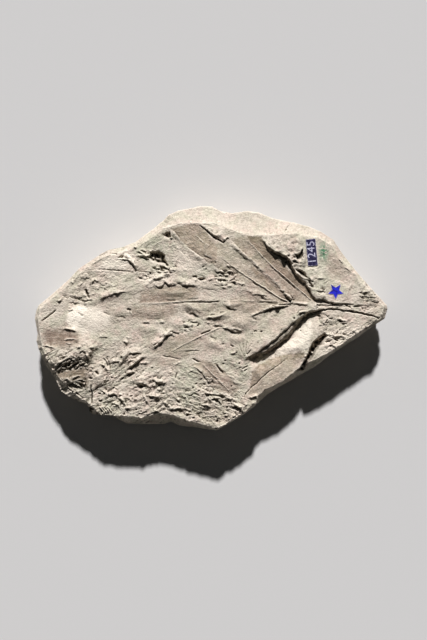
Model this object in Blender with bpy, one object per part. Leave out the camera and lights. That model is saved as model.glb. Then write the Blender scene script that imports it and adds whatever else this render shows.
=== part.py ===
"""A slab of pale mudstone whose upper face holds the relief of a compound leaf, with a small
number label and a star sticker. Lengths in this file are millimetres until they reach a mesh.

The slab lies on its back. +X runs along its length to the stalk's tip, +Y across it, +Z up, and
the origin is the middle of the underside's box."""

import math

import bmesh
import bpy
import numpy as np
from mathutils import Vector, noise

MM = 0.001

# The slab
FACE_LEVEL = 24.0  # height of the leaf's face above the underside
GRID_STEP = 0.8  # spacing of the net of points before it is thinned
HALF_LENGTH = 93.0  # half axes of the ellipse that the net is first spread over
HALF_WIDTH = 60.0
WALL_RINGS = 9
FOOT_INSET = 7.0  # how far the underside's edge lies inside the widest outline
KEPT_TRIANGLES = 7600

# The label and the star
LABEL_AT = (52.7, 34.6)
LABEL_SIZE = (5.2, 14.1)
LABEL_LEAN = math.radians(5.5)
LABEL_THICKNESS = 0.5
STAR_AT = (65.3, 14.3)
STAR_REACH = 4.5
STAR_WAIST = 2.1
STAR_THICKNESS = 0.4
STUCK_GAP = 0.3
FLAT_MARGIN = 1.6  # flat stone left round each of them

# The widest outline, seen from above, clockwise from the left end
OUTLINE = [
    (-92.9, 0.0), (-92.3, 3.9), (-90.8, 7.0), (-86.5, 10.5), (-80.9, 15.4), (-75.2, 20.4), (-69.6, 26.4),
    (-63.9, 30.1), (-58.3, 33.8), (-54.0, 36.2), (-47.0, 37.6), (-40.2, 40.3), (-36.2, 43.1), (-31.1, 46.8),
    (-24.9, 52.6), (-22.7, 55.1), (-17.3, 57.5), (-10.2, 58.8), (-5.7, 59.7), (0.5, 59.4), (5.0, 57.1),
    (11.3, 56.0), (19.2, 57.0), (25.1, 56.3), (33.3, 53.0), (44.9, 50.6), (51.7, 48.5), (58.2, 45.8),
    (64.4, 41.7), (68.9, 35.1), (74.2, 28.1), (77.1, 24.3), (84.8, 15.7), (92.7, 7.0), (93.1, 5.3),
    (91.6, -0.1), (82.7, -5.9), (78.0, -9.8), (71.5, -13.8), (62.4, -19.9), (55.1, -25.7), (46.3, -31.0),
    (36.7, -36.4), (29.8, -40.8), (23.1, -46.8), (17.4, -51.1), (8.4, -56.9), (3.0, -60.0), (-2.9, -59.1),
    (-10.0, -58.1), (-17.1, -57.3), (-21.6, -55.0), (-25.6, -56.7), (-36.9, -56.4), (-45.3, -56.3),
    (-52.7, -52.2), (-63.4, -51.6), (-65.6, -50.5), (-65.7, -45.6), (-73.1, -42.4), (-79.3, -38.3),
    (-82.0, -32.2), (-86.8, -25.1), (-90.8, -16.6), (-92.1, -11.8), (-91.4, -8.0),
]

# The face inside the broken rim: outside it the stone falls away to the outline
FACE = [
    (-90.8, 0.0), (-89.6, 5.0), (-84.5, 9.8), (-78.5, 14.6), (-72.5, 20.3), (-66.0, 26.0), (-57.0, 32.0),
    (-45.0, 35.3), (-38.0, 38.0), (-30.5, 43.0), (-24.9, 47.5), (-17.3, 49.8), (-8.2, 50.3), (1.9, 50.0),
    (9.0, 47.2), (18.9, 43.9), (31.0, 43.9), (44.0, 44.8), (56.0, 42.5), (63.0, 38.5), (67.0, 32.0),
    (75.0, 23.5), (83.0, 14.5), (90.8, 6.2), (89.5, 0.3), (81.0, -5.2), (70.0, -12.4), (61.0, -18.6),
    (52.0, -22.9), (44.6, -27.4), (36.7, -33.6), (27.9, -37.5), (24.8, -41.0), (23.5, -44.5), (16.0, -50.3),
    (8.0, -55.5), (3.0, -58.3), (-3.0, -55.9), (-11.4, -53.9), (-19.9, -50.8), (-27.3, -49.7),
    (-36.0, -52.1), (-45.4, -51.4), (-57.8, -50.5), (-62.3, -46.5), (-66.6, -42.6), (-73.5, -37.3),
    (-79.2, -31.6), (-84.0, -25.6), (-88.8, -15.0), (-89.9, -8.0),
]

# How far the stone falls from the face to the outline, by direction in degrees
RIM_FALL = [
    (-180, 4.0), (-160, 5.5), (-150, 8.0), (-141, 11.0), (-135, 13.0), (-100, 14.0), (-84, 12.0),
    (-70, 8.0), (-58, 10.5), (-30, 10.0), (-16, 6.0), (0, 3.5), (20, 4.0), (40, 4.5), (55, 7.0),
    (115, 7.5), (125, 5.5), (150, 4.0), (180, 4.0),
]

# Each fold is its heights along a line, its widths on the left and on the right of the line, and
# the line, drawn west to east. A ledge is a fold with one steep side, and a groove goes below zero.
FOLDS = {
    "north_bank": ([1.5], 13.0, 1.2, [
        (-66.8, 7.4), (-60.0, 9.9), (-54.0, 11.5), (-49.0, 13.0), (-43.9, 14.8), (-34.2, 15.4),
        (-29.4, 17.4), (-23.8, 18.6), (-17.3, 18.6), (-6.0, 17.9), (0.0, 16.4), (8.2, 16.2), (19.5, 14.6)]),
    "upper_ledge": ([1.3], 5.0, 1.0, [
        (-9.7, 22.0), (-7.4, 22.2), (-4.6, 20.9), (-2.0, 20.4), (1.9, 21.6)]),
    "flake": ([2.2], 8.0, 1.2, [
        (-8.2, 50.9), (-3.4, 47.8), (-0.6, 45.3), (3.9, 42.0), (6.5, 40.6)]),
    "far_left_margin": ([1.0], 1.5, 1.1, [
        (-22.4, 46.9), (-18.1, 42.8), (-13.3, 37.9), (-8.0, 33.9), (-3.4, 30.3), (-1.7, 29.1)]),
    "far_leaflet_rib": ([0.5, 0.9, 1.1], 1.0, 1.0, [
        (-9.4, 44.7), (-2.9, 39.3), (6.6, 31.4), (12.4, 26.4), (20.0, 21.4), (31.1, 14.1), (42.1, 8.4)]),
    "leaflet_boundary": ([0.8, 1.3, 2.2], 4.5, 1.2, [
        (9.9, 40.6), (15.8, 34.0), (22.9, 30.0), (27.7, 24.5), (35.0, 18.0), (38.4, 13.8), (42.7, 9.0)]),
    "near_leaflet_rib": ([0.5, 0.9, 1.2], 1.0, 1.0, [
        (17.5, 41.8), (23.7, 35.8), (31.1, 28.2), (39.5, 20.9), (47.2, 14.3), (53.7, 8.3)]),
    "right_cliff": ([1.0, 3.2, 3.8, 3.4, 2.2, 1.4, 1.0, 0.6], 24.0, 2.0, [
        (25.7, 42.7), (30.5, 38.5), (33.9, 35.5), (39.5, 32.9), (43.8, 27.6), (46.5, 22.8), (51.4, 17.1),
        (54.0, 13.0), (56.4, 9.6), (61.3, 8.9), (64.4, 8.7), (71.8, 7.7), (78.0, 7.4), (87.0, 7.6)]),
    "middle_rib": ([0.6, 0.8, 0.9, 1.1, 1.1, 1.3], 1.0, 1.0, [
        (-56.6, 7.2), (-38.5, 7.8), (-20.1, 8.4), (3.9, 9.0), (24.8, 8.6), (35.0, 7.7), (43.5, 8.0)]),
    "lower_vein": ([1.1], 2.6, 1.0, [
        (20.3, 1.0), (26.0, 3.1), (34.5, 5.5), (41.2, 7.1), (46.3, 7.8), (53.4, 7.0)]),
    "stalk": ([1.7], 2.4, 1.3, [
        (52.0, 2.6), (56.2, 4.9), (63.3, 6.3), (70.4, 4.6), (79.7, 3.2), (87.0, 1.1)]),
    "great_groove": ([-1.5, -4.4, -5.0, -5.0, -3.6, -2.4, -1.0], 3.4, 11.0, [
        (16.9, -25.0), (24.6, -20.9), (32.8, -16.9), (39.5, -11.5), (45.2, -5.3), (48.0, -1.1),
        (54.8, 2.7), (60.0, 3.2)]),
    "lower_leaf_step": ([-1.5], 2.0, 12.0, [
        (24.0, -25.6), (31.1, -22.6), (37.3, -20.0), (48.6, -18.4)]),
    "lower_leaf_midrib": ([-0.8], 0.8, 0.9, [
        (17.4, -41.2), (23.1, -34.5), (32.2, -26.7), (39.0, -21.4)]),
    "corner_notch": ([-4.5], 2.2, 3.6, [
        (47.0, -24.2), (52.6, -21.4), (56.8, -17.0), (62.0, -13.6)]),
    "small_leaf_ledge": ([1.5], 7.0, 1.2, [
        (-31.7, -16.9), (-28.6, -14.7), (-25.2, -12.5), (-21.5, -8.4), (-17.3, -8.2)]),
    "small_leaf_rib": ([0.8], 0.9, 1.0, [
        (-22.6, -18.4), (-14.7, -13.6), (-5.7, -9.2), (2.2, -5.7), (7.9, -3.7)]),
    "strip_left_edge": ([0.9], 2.6, 1.0, [
        (-9.7, -24.9), (-5.1, -28.3), (-1.7, -32.2), (0.0, -34.5)]),
    "strip_midrib": ([0.7], 2.0, 1.0, [
        (-4.9, -23.2), (2.2, -30.5), (6.2, -33.9), (11.2, -39.0)]),
    "west_shelf": ([3.6], 16.0, 2.4, [
        (-84.3, -27.2), (-82.0, -25.0), (-76.5, -21.0), (-69.6, -18.9), (-66.0, -21.6), (-63.6, -23.6)]),
    "west_low_cliff": ([3.4], 6.0, 1.8, [
        (-80.6, -31.4), (-77.6, -32.9), (-73.0, -34.2), (-69.5, -35.0), (-65.0, -37.5)]),
    "black_lens": ([2.0], 5.0, 1.5, [
        (-44.4, -25.4), (-40.2, -24.5), (-36.5, -21.0), (-33.4, -19.2)]),
    "west_crack": ([-1.3], 0.9, 0.9, [
        (-88.8, -1.2), (-85.1, 1.6), (-81.2, 4.5)]),
    "thick_chip": ([1.5], 4.0, 1.1, [
        (-67.6, 19.9), (-63.9, 21.9), (-58.6, 21.0)]),
    "upper_left_bank": ([1.4], 7.0, 1.2, [
        (-49.0, 32.4), (-43.2, 30.5), (-39.6, 26.5), (-37.9, 24.3), (-30.0, 22.5)]),
    "bottom_arc": ([1.7], 5.0, 1.3, [
        (-58.0, -42.2), (-54.4, -40.1), (-50.4, -39.7), (-47.3, -42.4), (-45.3, -44.6)]),
    "bottom_steps": ([1.8], 5.0, 1.3, [
        (-5.8, -39.0), (1.3, -39.3), (8.4, -40.0)]),
    "bottom_lower_step": ([1.9], 4.0, 1.3, [
        (-0.7, -41.2), (3.3, -42.2), (6.7, -44.7), (11.8, -45.4), (16.8, -48.4)]),
    "rim_chip": ([2.0], 5.0, 1.4, [
        (-34.6, -39.0), (-30.1, -40.4), (-25.6, -43.0), (-20.8, -46.3), (-14.5, -47.5)]),
    "middle_broken_edge": ([1.3], 5.0, 1.2, [
        (-32.5, -31.7), (-28.9, -33.2), (-22.9, -33.2), (-18.8, -30.8)]),
    "small_leaf_lower_edge": ([1.2], 4.0, 1.1, [
        (-52.1, -24.3), (-47.0, -24.2), (-43.0, -18.9), (-35.1, -17.9)]),
}

# Each hollow is a depth, the width of its sloping wall and its edge
HOLLOWS = {
    "label_pit": (2.2, 1.6, [
        (43.2, 33.1), (47.0, 34.6), (48.5, 36.3), (48.4, 33.0), (46.2, 29.9), (44.4, 31.2)]),
    "upper_left_pit": (2.0, 1.8, [
        (-49.4, 32.8), (-46.0, 34.0), (-43.0, 33.0), (-42.6, 29.8), (-46.0, 30.4)]),
    "top_left_pit": (2.4, 2.0, [
        (-31.4, 32.5), (-29.5, 34.8), (-26.5, 35.2), (-24.5, 33.0), (-24.8, 29.6), (-28.0, 29.2), (-30.8, 30.2)]),
    "left_rim_pit": (1.8, 1.5, [
        (-26.4, 43.4), (-24.3, 45.6), (-21.0, 46.0), (-19.8, 42.6), (-23.5, 41.6)]),
    "nodule_hole": (2.0, 1.3, [
        (-61.0, -28.2), (-59.4, -27.0), (-58.0, -28.6), (-59.4, -30.2)]),
    "south_west_gap": (6.0, 1.6, [
        (-66.4, -45.6), (-60.6, -46.6), (-58.2, -52.8), (-66.6, -52.8)]),
}

# Each bump is a height, its centre, its two radii and its turn in degrees
BUMPS = {
    "nodule": (2.4, (-58.5, -30.0), (5.5, 8.5), 0),
    "lit_bump": (1.4, (-37.0, -31.5), (7.0, 4.0), 10),
    "left_swell": (1.2, (-66.0, 0.0), (16.0, 10.0), -10),
    "crown": (1.6, (-2.0, 33.0), (13.0, 9.0), -35),
}


def ease(t):
    """0 to 1 with level ends."""
    t = np.clip(t, 0.0, 1.0)
    return t * t * (3.0 - 2.0 * t)


def beside(x, y, line):
    """Distance from each point to a line, positive on its left, and the length run along it."""
    best = np.full(x.shape, 1e9)
    side = np.zeros(x.shape)
    run = np.zeros(x.shape)
    passed = 0.0
    for (ax, ay), (bx, by) in zip(line, line[1:]):
        length = math.hypot(bx - ax, by - ay)
        ux, uy = (bx - ax) / length, (by - ay) / length
        along = np.clip((x - ax) * ux + (y - ay) * uy, 0.0, length)
        away = np.hypot(x - ax - along * ux, y - ay - along * uy)
        left = (y - ay) * ux - (x - ax) * uy
        nearer = (away < best - 1e-6) | ((away < best + 1e-6) & (np.abs(left) > np.abs(side)))
        best = np.where(nearer, away, best)
        side = np.where(nearer, left, side)
        run = np.where(nearer, passed + along, run)
        passed += length
    return np.where(side >= 0.0, best, -best), run, passed


def inside(x, y, edge):
    """Distance from each point to a closed edge, positive inside it."""
    closed = edge + edge[:1]
    away = np.abs(beside(x, y, closed)[0])
    within = np.zeros(x.shape, bool)
    for (ax, ay), (bx, by) in zip(closed, closed[1:]):
        if ay != by:
            crossing = ax + (y - ay) * (bx - ax) / (by - ay)
            within ^= ((ay > y) != (by > y)) & (x < crossing)
    return np.where(within, away, -away)


def fold(x, y, heights, left, right, line):
    away, run, length = beside(x, y, line)
    end = min(4.0, 0.35 * length)
    fade = ease(run / end) * ease((length - run) / end)
    width = np.where(away >= 0.0, left, right)
    height = np.interp(run / length, np.linspace(0.0, 1.0, len(heights)), heights)
    return height * fade * (1.0 - ease(np.abs(away) / width))


def bump(x, y, height, at, radii, turn):
    cos, sin = math.cos(math.radians(turn)), math.sin(math.radians(turn))
    along = ((x - at[0]) * cos + (y - at[1]) * sin) / radii[0]
    across = ((y - at[1]) * cos - (x - at[0]) * sin) / radii[1]
    return height * (1.0 - ease(np.hypot(along, across)))


def wave(x, y, size, octaves, layer):
    """Soft noise, about -1 to 1, whose broadest waves are size wide."""
    points = zip(np.ravel(x) / size, np.ravel(y) / size)
    values = [noise.fractal(Vector((u, v, layer)), 0.9, 2.1, octaves) for u, v in points]
    return np.reshape(values, np.shape(x))


def outline_reach(angle):
    """Distance from the middle to the outline, by direction."""
    points = np.array(OUTLINE)
    turned = np.degrees(np.arctan2(points[:, 1], points[:, 0]))
    order = np.argsort(turned)
    first = points[order]
    turned = turned[order]
    following = np.searchsorted(turned, np.degrees(angle)) % len(first)
    a = first[following - 1]
    b = first[following]
    dx, dy = np.cos(angle), np.sin(angle)
    ex, ey = b[..., 0] - a[..., 0], b[..., 1] - a[..., 1]
    return (a[..., 0] * ey - a[..., 1] * ex) / (dx * ey - dy * ex)


def rim_fall(x, y):
    directions, falls = zip(*RIM_FALL)
    depth = np.interp(np.degrees(np.arctan2(y, x)), directions, falls)
    past_face = np.maximum(-inside(x, y, FACE), 0.0)
    to_edge = np.maximum(inside(x, y, OUTLINE), 0.0)
    share = past_face / (past_face + to_edge + 1e-6)
    return depth * share * (1.5 - 0.5 * share)


def roughness(x, y):
    """How broken the stone is: more in the south-west and outside the leaf's own face."""
    south = ease((-14.0 - y) / 18.0) * ease((22.0 - x) / 12.0)
    north = ease((y - 16.0 - 0.05 * np.abs(x)) / 10.0) * ease((-x + 4.0) / 16.0)
    return np.clip(0.2 + 0.8 * south + 0.35 * north, 0.0, 1.0)


def broken_beds(x, y):
    """Thin beds that broke off one after another, as steps about a millimetre high."""
    level = 3.2 * wave(x + 0.35 * y, 1.5 * y, 19.0, 2, 5.0)
    whole = np.floor(level)
    return whole + ease((level - whole - 0.72) / 0.28)


def upper_face(x, y):
    """Height of the stone above the underside."""
    z = FACE_LEVEL + 0.7 * wave(x, y, 46.0, 2, 3.0)
    z += roughness(x, y) * (0.85 * broken_beds(x, y) + 0.6 * wave(x, y, 6.0, 2, 7.0))
    for heights, left, right, line in FOLDS.values():
        z += fold(x, y, heights, left, right, line)
    for depth, wall, edge in HOLLOWS.values():
        z -= depth * ease(inside(x, y, edge) / wall + 0.2)
    for height, at, radii, turn in BUMPS.values():
        z += bump(x, y, height, at, radii, turn)
    return z - rim_fall(x, y)


def label_coordinates(x, y):
    """Across and along the leaning label, from its middle."""
    cos, sin = math.cos(LABEL_LEAN), math.sin(LABEL_LEAN)
    dx, dy = x - LABEL_AT[0], y - LABEL_AT[1]
    return dx * cos + dy * sin, dy * cos - dx * sin


def seat_level(at):
    """Height of the flat stone under a label, from the ground just round its middle."""
    turns = np.linspace(0.0, 2.0 * math.pi, 12, endpoint=False)
    return float(np.mean(upper_face(at[0] + 3.0 * np.cos(turns), at[1] + 3.0 * np.sin(turns))))


def seated_face(x, y):
    """The upper face with a flat seat for the label and one for the star."""
    z = upper_face(x, y)
    across, along = label_coordinates(x, y)
    beyond = np.hypot(
        np.maximum(np.abs(across) - LABEL_SIZE[0] / 2, 0.0),
        np.maximum(np.abs(along) - LABEL_SIZE[1] / 2, 0.0),
    )
    label_share = 1.0 - ease((beyond - FLAT_MARGIN) / 2.5)
    z += label_share * (seat_level(LABEL_AT) - z)
    beyond = np.hypot(x - STAR_AT[0], y - STAR_AT[1]) - STAR_REACH
    star_share = 1.0 - ease((beyond - FLAT_MARGIN) / 2.5)
    return z + star_share * (seat_level(STAR_AT) - z)


def spread(u, v):
    """Turn a square net into one that fills the outline, even in the middle."""
    x = HALF_LENGTH * u * np.sqrt(1.0 - v * v / 2.0)
    y = HALF_WIDTH * v * np.sqrt(1.0 - u * u / 2.0)
    angle = np.arctan2(y, x)
    out = np.hypot(x / HALF_LENGTH, y / HALF_WIDTH)
    oval = 1.0 / np.hypot(np.cos(angle) / HALF_LENGTH, np.sin(angle) / HALF_WIDTH)
    stretch = 1.0 + (outline_reach(angle) / oval - 1.0) * out * out
    return x * stretch, y * stretch


def wall_inset(angle, height):
    """How far the wall stands inside the outline, in beds that broke back unevenly."""
    x, y = 60.0 * np.cos(angle), 60.0 * np.sin(angle)
    beds = np.floor(height / 4.0 + 0.8 * wave(x, y, 30.0, 1, 21.0))
    broken = 1.3 * wave(x + 17.0 * beds, y - 11.0 * beds, 13.0, 2, 23.0)
    return broken


def set_points(verts, x, y, z):
    for vert, px, py, pz in zip(verts, x, y, z):
        vert.co = (px * MM, py * MM, pz * MM)


def places(verts):
    x, y, z = np.array([vert.co for vert in verts]).T / MM
    return x, y, z


def add_object(name, bm, material):
    bmesh.ops.recalc_face_normals(bm, faces=bm.faces)
    mesh = bpy.data.meshes.new(name)
    bm.to_mesh(mesh)
    bm.free()
    mesh.materials.append(material)
    piece = bpy.data.objects.new(name, mesh)
    bpy.context.scene.collection.objects.link(piece)
    return piece


def plain_material(name, colour, roughness_value):
    material = bpy.data.materials.new(name)
    material.use_nodes = True
    shader = material.node_tree.nodes["Principled BSDF"]
    shader.inputs["Base Color"].default_value = (*colour, 1.0)
    shader.inputs["Roughness"].default_value = roughness_value
    return material


def make_slab():
    """The net becomes the upper face, its edge goes down in rings, and a flat face closes it."""
    bm = bmesh.new()
    columns = round(2 * HALF_LENGTH / GRID_STEP * 0.9)
    rows = round(2 * HALF_WIDTH / GRID_STEP * 0.9)
    bmesh.ops.create_grid(bm, x_segments=columns, y_segments=rows, size=1.0)
    u, v, _ = np.array([vert.co for vert in bm.verts]).T
    x, y = spread(u, v)
    set_points(bm.verts, x, y, seated_face(x, y))

    edge = [e for e in bm.edges if e.is_boundary]
    rim = {}
    for step in range(1, WALL_RINGS + 1):
        made = bmesh.ops.extrude_edge_only(bm, edges=edge)["geom"]
        edge = [g for g in made if isinstance(g, bmesh.types.BMEdge)]
        ring = [g for g in made if isinstance(g, bmesh.types.BMVert)]
        x, y, z = places(ring)
        if step == 1:
            rim = {"x": x, "y": y, "z": z}
        down = step / WALL_RINGS
        angle = np.arctan2(rim["y"], rim["x"])
        height = rim["z"] * (1.0 - down)
        inset = FOOT_INSET * down ** 2.6 + wall_inset(angle, height) * math.sin(math.pi * down) ** 0.7
        shrink = 1.0 - np.maximum(inset, 0.0) / np.hypot(rim["x"], rim["y"])
        set_points(ring, rim["x"] * shrink, rim["y"] * shrink, height)
    bmesh.ops.contextual_create(bm, geom=edge)

    slab = add_object("stone_slab", bm, plain_material("mudstone", (0.56, 0.49, 0.39), 0.95))
    triangles = sum(len(face.vertices) - 2 for face in slab.data.polygons)
    thin = slab.modifiers.new("thin out the net", "DECIMATE")
    thin.ratio = KEPT_TRIANGLES / triangles
    return slab


def make_label():
    bm = bmesh.new()
    bmesh.ops.create_cube(bm, size=1.0)
    level = seat_level(LABEL_AT) + STUCK_GAP + LABEL_THICKNESS / 2
    cos, sin = math.cos(LABEL_LEAN), math.sin(LABEL_LEAN)
    for vert in bm.verts:
        across, along = vert.co.x * LABEL_SIZE[0], vert.co.y * LABEL_SIZE[1]
        x = LABEL_AT[0] + across * cos - along * sin
        y = LABEL_AT[1] + across * sin + along * cos
        vert.co = (x * MM, y * MM, (level + vert.co.z * LABEL_THICKNESS) * MM)
    upright = [e for e in bm.edges if abs(e.verts[0].co.z - e.verts[1].co.z) > 0.1 * MM]
    bmesh.ops.bevel(bm, geom=upright, offset=0.4 * MM, segments=2, profile=0.5, affect="EDGES", material=-1)
    return add_object("number_label", bm, plain_material("label", (0.09, 0.08, 0.16), 0.5))


def make_star():
    """Ten corners pointing down the slab, drawn as one face and thickened."""
    bm = bmesh.new()
    level = seat_level(STAR_AT) + STUCK_GAP
    corners = []
    for step in range(10):
        reach = STAR_REACH if step % 2 == 0 else STAR_WAIST
        turn = math.radians(-90 + 36 * step)
        x = STAR_AT[0] + reach * math.cos(turn)
        y = STAR_AT[1] + reach * math.sin(turn)
        corners.append(bm.verts.new((x * MM, y * MM, level * MM)))
    face = bm.faces.new(corners)
    made = bmesh.ops.extrude_face_region(bm, geom=[face])["geom"]
    top = [g for g in made if isinstance(g, bmesh.types.BMVert)]
    bmesh.ops.translate(bm, verts=top, vec=(0, 0, STAR_THICKNESS * MM))
    return add_object("star_sticker", bm, plain_material("blue sticker", (0.03, 0.035, 0.45), 0.4))


def main():
    for old in list(bpy.data.objects):
        bpy.data.objects.remove(old, do_unlink=True)
    make_slab()
    make_label()
    make_star()


main()
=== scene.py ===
# %% [markdown]
# A fossil leaf on a slab of pale mudstone. The solids of the slab, its number label and its star
# sticker come in as a fixed frame. This script gives them their fine surface: the leaf's veins and
# margins, broken beds, pits and grain, with finishes that are worked out and not photographed.

import math

import bmesh
import bpy
import numpy as np
from mathutils import Matrix, Vector, noise


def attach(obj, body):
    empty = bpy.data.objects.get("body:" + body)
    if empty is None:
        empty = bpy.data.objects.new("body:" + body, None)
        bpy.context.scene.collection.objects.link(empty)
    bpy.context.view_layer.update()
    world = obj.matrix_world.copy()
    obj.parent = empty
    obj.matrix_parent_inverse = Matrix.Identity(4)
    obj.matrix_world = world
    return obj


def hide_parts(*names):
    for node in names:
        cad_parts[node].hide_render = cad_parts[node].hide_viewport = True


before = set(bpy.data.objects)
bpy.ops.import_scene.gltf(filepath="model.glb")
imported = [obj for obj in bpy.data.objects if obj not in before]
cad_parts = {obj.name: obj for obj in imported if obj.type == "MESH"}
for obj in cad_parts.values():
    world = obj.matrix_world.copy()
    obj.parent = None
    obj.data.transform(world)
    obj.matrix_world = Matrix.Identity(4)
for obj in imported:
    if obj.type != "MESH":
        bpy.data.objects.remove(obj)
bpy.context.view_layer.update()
print("nodes:", sorted(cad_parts))

# %% [markdown]
# The camera hangs straight over the slab and the long side of the picture runs along Y. The main
# light comes in low from the far side, +Y, as in a museum's raking light: it makes each slope that
# faces it bright and draws a dark line under each ledge.

# %% Camera and light
MM = 0.001
FACE_LEVEL = 24.0  # height of the leaf's face in millimetres, as all lengths below
VIEW_CENTRE = (1.31, -0.79)
VIEW_HEIGHT = 336.0  # what the picture's long side takes in, at the leaf's face
LENS = 60.0
SENSOR = 36.0
LIGHT_ELEVATION = math.radians(38)
LIGHT_BEARING = math.radians(2)  # turned from +Y towards +X
SUN_STRENGTH = 4.55
SUN_ANGLE = math.radians(3.5)
SUN_COLOUR = (0.98, 0.985, 1.03)
SKY_STRENGTH = 0.055
SKY_COLOUR = (0.93, 0.96, 1.0, 1.0)

scene = bpy.context.scene
camera_data = bpy.data.cameras.new("camera")
camera_data.lens = LENS
camera_data.sensor_width = SENSOR
camera_data.clip_start = 0.01
camera = bpy.data.objects.new("camera", camera_data)
camera_height = FACE_LEVEL + VIEW_HEIGHT * LENS / SENSOR
camera.location = (VIEW_CENTRE[0] * MM, VIEW_CENTRE[1] * MM, camera_height * MM)
scene.collection.objects.link(camera)
scene.camera = camera

sun_data = bpy.data.lights.new("sun", "SUN")
sun_data.energy = SUN_STRENGTH
sun_data.angle = SUN_ANGLE
sun_data.color = SUN_COLOUR
sun = bpy.data.objects.new("sun", sun_data)
toward_light = Vector((
    math.sin(LIGHT_BEARING) * math.cos(LIGHT_ELEVATION),
    math.cos(LIGHT_BEARING) * math.cos(LIGHT_ELEVATION),
    math.sin(LIGHT_ELEVATION),
))
sun.rotation_euler = toward_light.to_track_quat("Z", "Y").to_euler()
scene.collection.objects.link(sun)

world = bpy.data.worlds.new("studio")
scene.world = world
world.use_nodes = True
sky = world.node_tree.nodes["Background"]
sky.inputs["Color"].default_value = SKY_COLOUR
sky.inputs["Strength"].default_value = SKY_STRENGTH
scene.view_settings.view_transform = "Standard"
scene.view_settings.gamma = 0.85  # a little more contrast, as on a scan
scene.view_settings.exposure = 0.14
print(f"camera {camera_height:.0f} mm up, light {math.degrees(LIGHT_ELEVATION):.0f} degrees high")

# %% [markdown]
# The slab is one net of points. A flat grid from bmesh is spread until its edge lies on the slab's
# outline, which keeps every row of the net smooth and its cells even. All that follows only moves
# those points up and down, so the surface can't tear.

# %% The outline and the net
HALF_LENGTH = 93.0
HALF_WIDTH = 60.0
COLUMNS = 560
ROWS = 360

OUTLINE = [
    (-92.9, 0), (-92.3, 3.9), (-90.8, 7), (-86.5, 10.5), (-80.9, 15.4), (-75.2, 20.4), (-69.6, 26.4),
    (-63.9, 30.1), (-58.3, 33.8), (-54, 36.2), (-47, 37.6), (-40.2, 40.3), (-36.2, 43.1), (-31.1, 46.8),
    (-24.9, 52.6), (-22.7, 55.1), (-17.3, 57.5), (-10.2, 58.8), (-5.7, 59.7), (0.5, 59.4), (5, 57.1),
    (11.3, 56), (19.2, 57), (25.1, 56.3), (33.3, 53), (44.9, 50.6), (51.7, 48.5), (58.2, 45.8), (64.4, 41.7),
    (68.9, 35.1), (74.2, 28.1), (77.1, 24.3), (84.8, 15.7), (92.7, 7), (93.1, 5.3), (91.6, -0.1),
    (82.7, -5.9), (78, -9.8), (71.5, -13.8), (62.4, -19.9), (55.1, -25.7), (46.3, -31), (36.7, -36.4),
    (29.8, -40.8), (23.1, -46.8), (17.4, -51.1), (8.4, -56.9), (3, -60), (-2.9, -59.1), (-10, -58.1),
    (-17.1, -57.3), (-21.6, -55), (-25.6, -56.7), (-36.9, -56.4), (-45.3, -56.3), (-52.7, -52.2),
    (-63.4, -51.6), (-65.6, -50.5), (-65.7, -45.6), (-73.1, -42.4), (-79.3, -38.3), (-82, -32.2),
    (-86.8, -25.1), (-90.8, -16.6), (-92.1, -11.8), (-91.4, -8)]


def ease(t):
    """0 to 1 with level ends."""
    t = np.clip(t, 0.0, 1.0)
    return t * t * (3.0 - 2.0 * t)


def outline_reach(angle):
    """Distance from the middle to the outline, by direction."""
    points = np.array(OUTLINE)
    turned = np.degrees(np.arctan2(points[:, 1], points[:, 0]))
    order = np.argsort(turned)
    points, turned = points[order], turned[order]
    following = np.searchsorted(turned, np.degrees(angle)) % len(points)
    a, b = points[following - 1], points[following]
    dx, dy = np.cos(angle), np.sin(angle)
    ex, ey = b[..., 0] - a[..., 0], b[..., 1] - a[..., 1]
    return (a[..., 0] * ey - a[..., 1] * ex) / (dx * ey - dy * ex)


def spread(u, v):
    """Turn a square net into one that fills the outline, even in the middle."""
    x = HALF_LENGTH * u * np.sqrt(1.0 - v * v / 2.0)
    y = HALF_WIDTH * v * np.sqrt(1.0 - u * u / 2.0)
    angle = np.arctan2(y, x)
    out = np.hypot(x / HALF_LENGTH, y / HALF_WIDTH)
    oval = 1.0 / np.hypot(np.cos(angle) / HALF_LENGTH, np.sin(angle) / HALF_WIDTH)
    stretch = 1.0 + (outline_reach(angle) / oval - 1.0) * out * out
    return x * stretch, y * stretch


slab_bm = bmesh.new()
bmesh.ops.create_grid(slab_bm, x_segments=COLUMNS, y_segments=ROWS, size=1.0)
grid_u, grid_v, _ = np.array([vert.co for vert in slab_bm.verts]).T
net_x, net_y = spread(grid_u, grid_v)
print(f"net of {len(net_x)} points, {np.ptp(net_x):.1f} by {np.ptp(net_y):.1f} mm")

# %% [markdown]
# Two kinds of noise break the surface. `wave` is soft and rolling. `chips` is hard: space is filled
# with cells round scattered seeds, and each cell is a facet with a height and a tilt of its own,
# which is how a brittle mudstone splits. The seeds come from whole-number arithmetic, so each run
# gives the same stone.

# %% Noise
def wave(x, y, size, octaves, layer):
    """Soft noise, about -1 to 1, whose broadest waves are size wide."""
    points = zip(np.ravel(x) / size, np.ravel(y) / size)
    values = [noise.fractal(Vector((u, v, layer)), 0.9, 2.1, octaves) for u, v in points]
    return np.reshape(values, np.shape(x))


def scatter(i, j, k, layer):
    """A number from 0 to 1 for each cell of a lattice."""
    mixed = (i * 73856093) ^ (j * 19349663) ^ (k * 83492791) ^ (layer * 2654435761)
    mixed = (mixed ^ (mixed >> 13)) * 1274126177 & 0xFFFFFFFF
    mixed = (mixed ^ (mixed >> 16)) * 2246822519 & 0xFFFFFFFF
    return ((mixed ^ (mixed >> 15)) & 0xFFFFFF) / 0xFFFFFF


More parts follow.
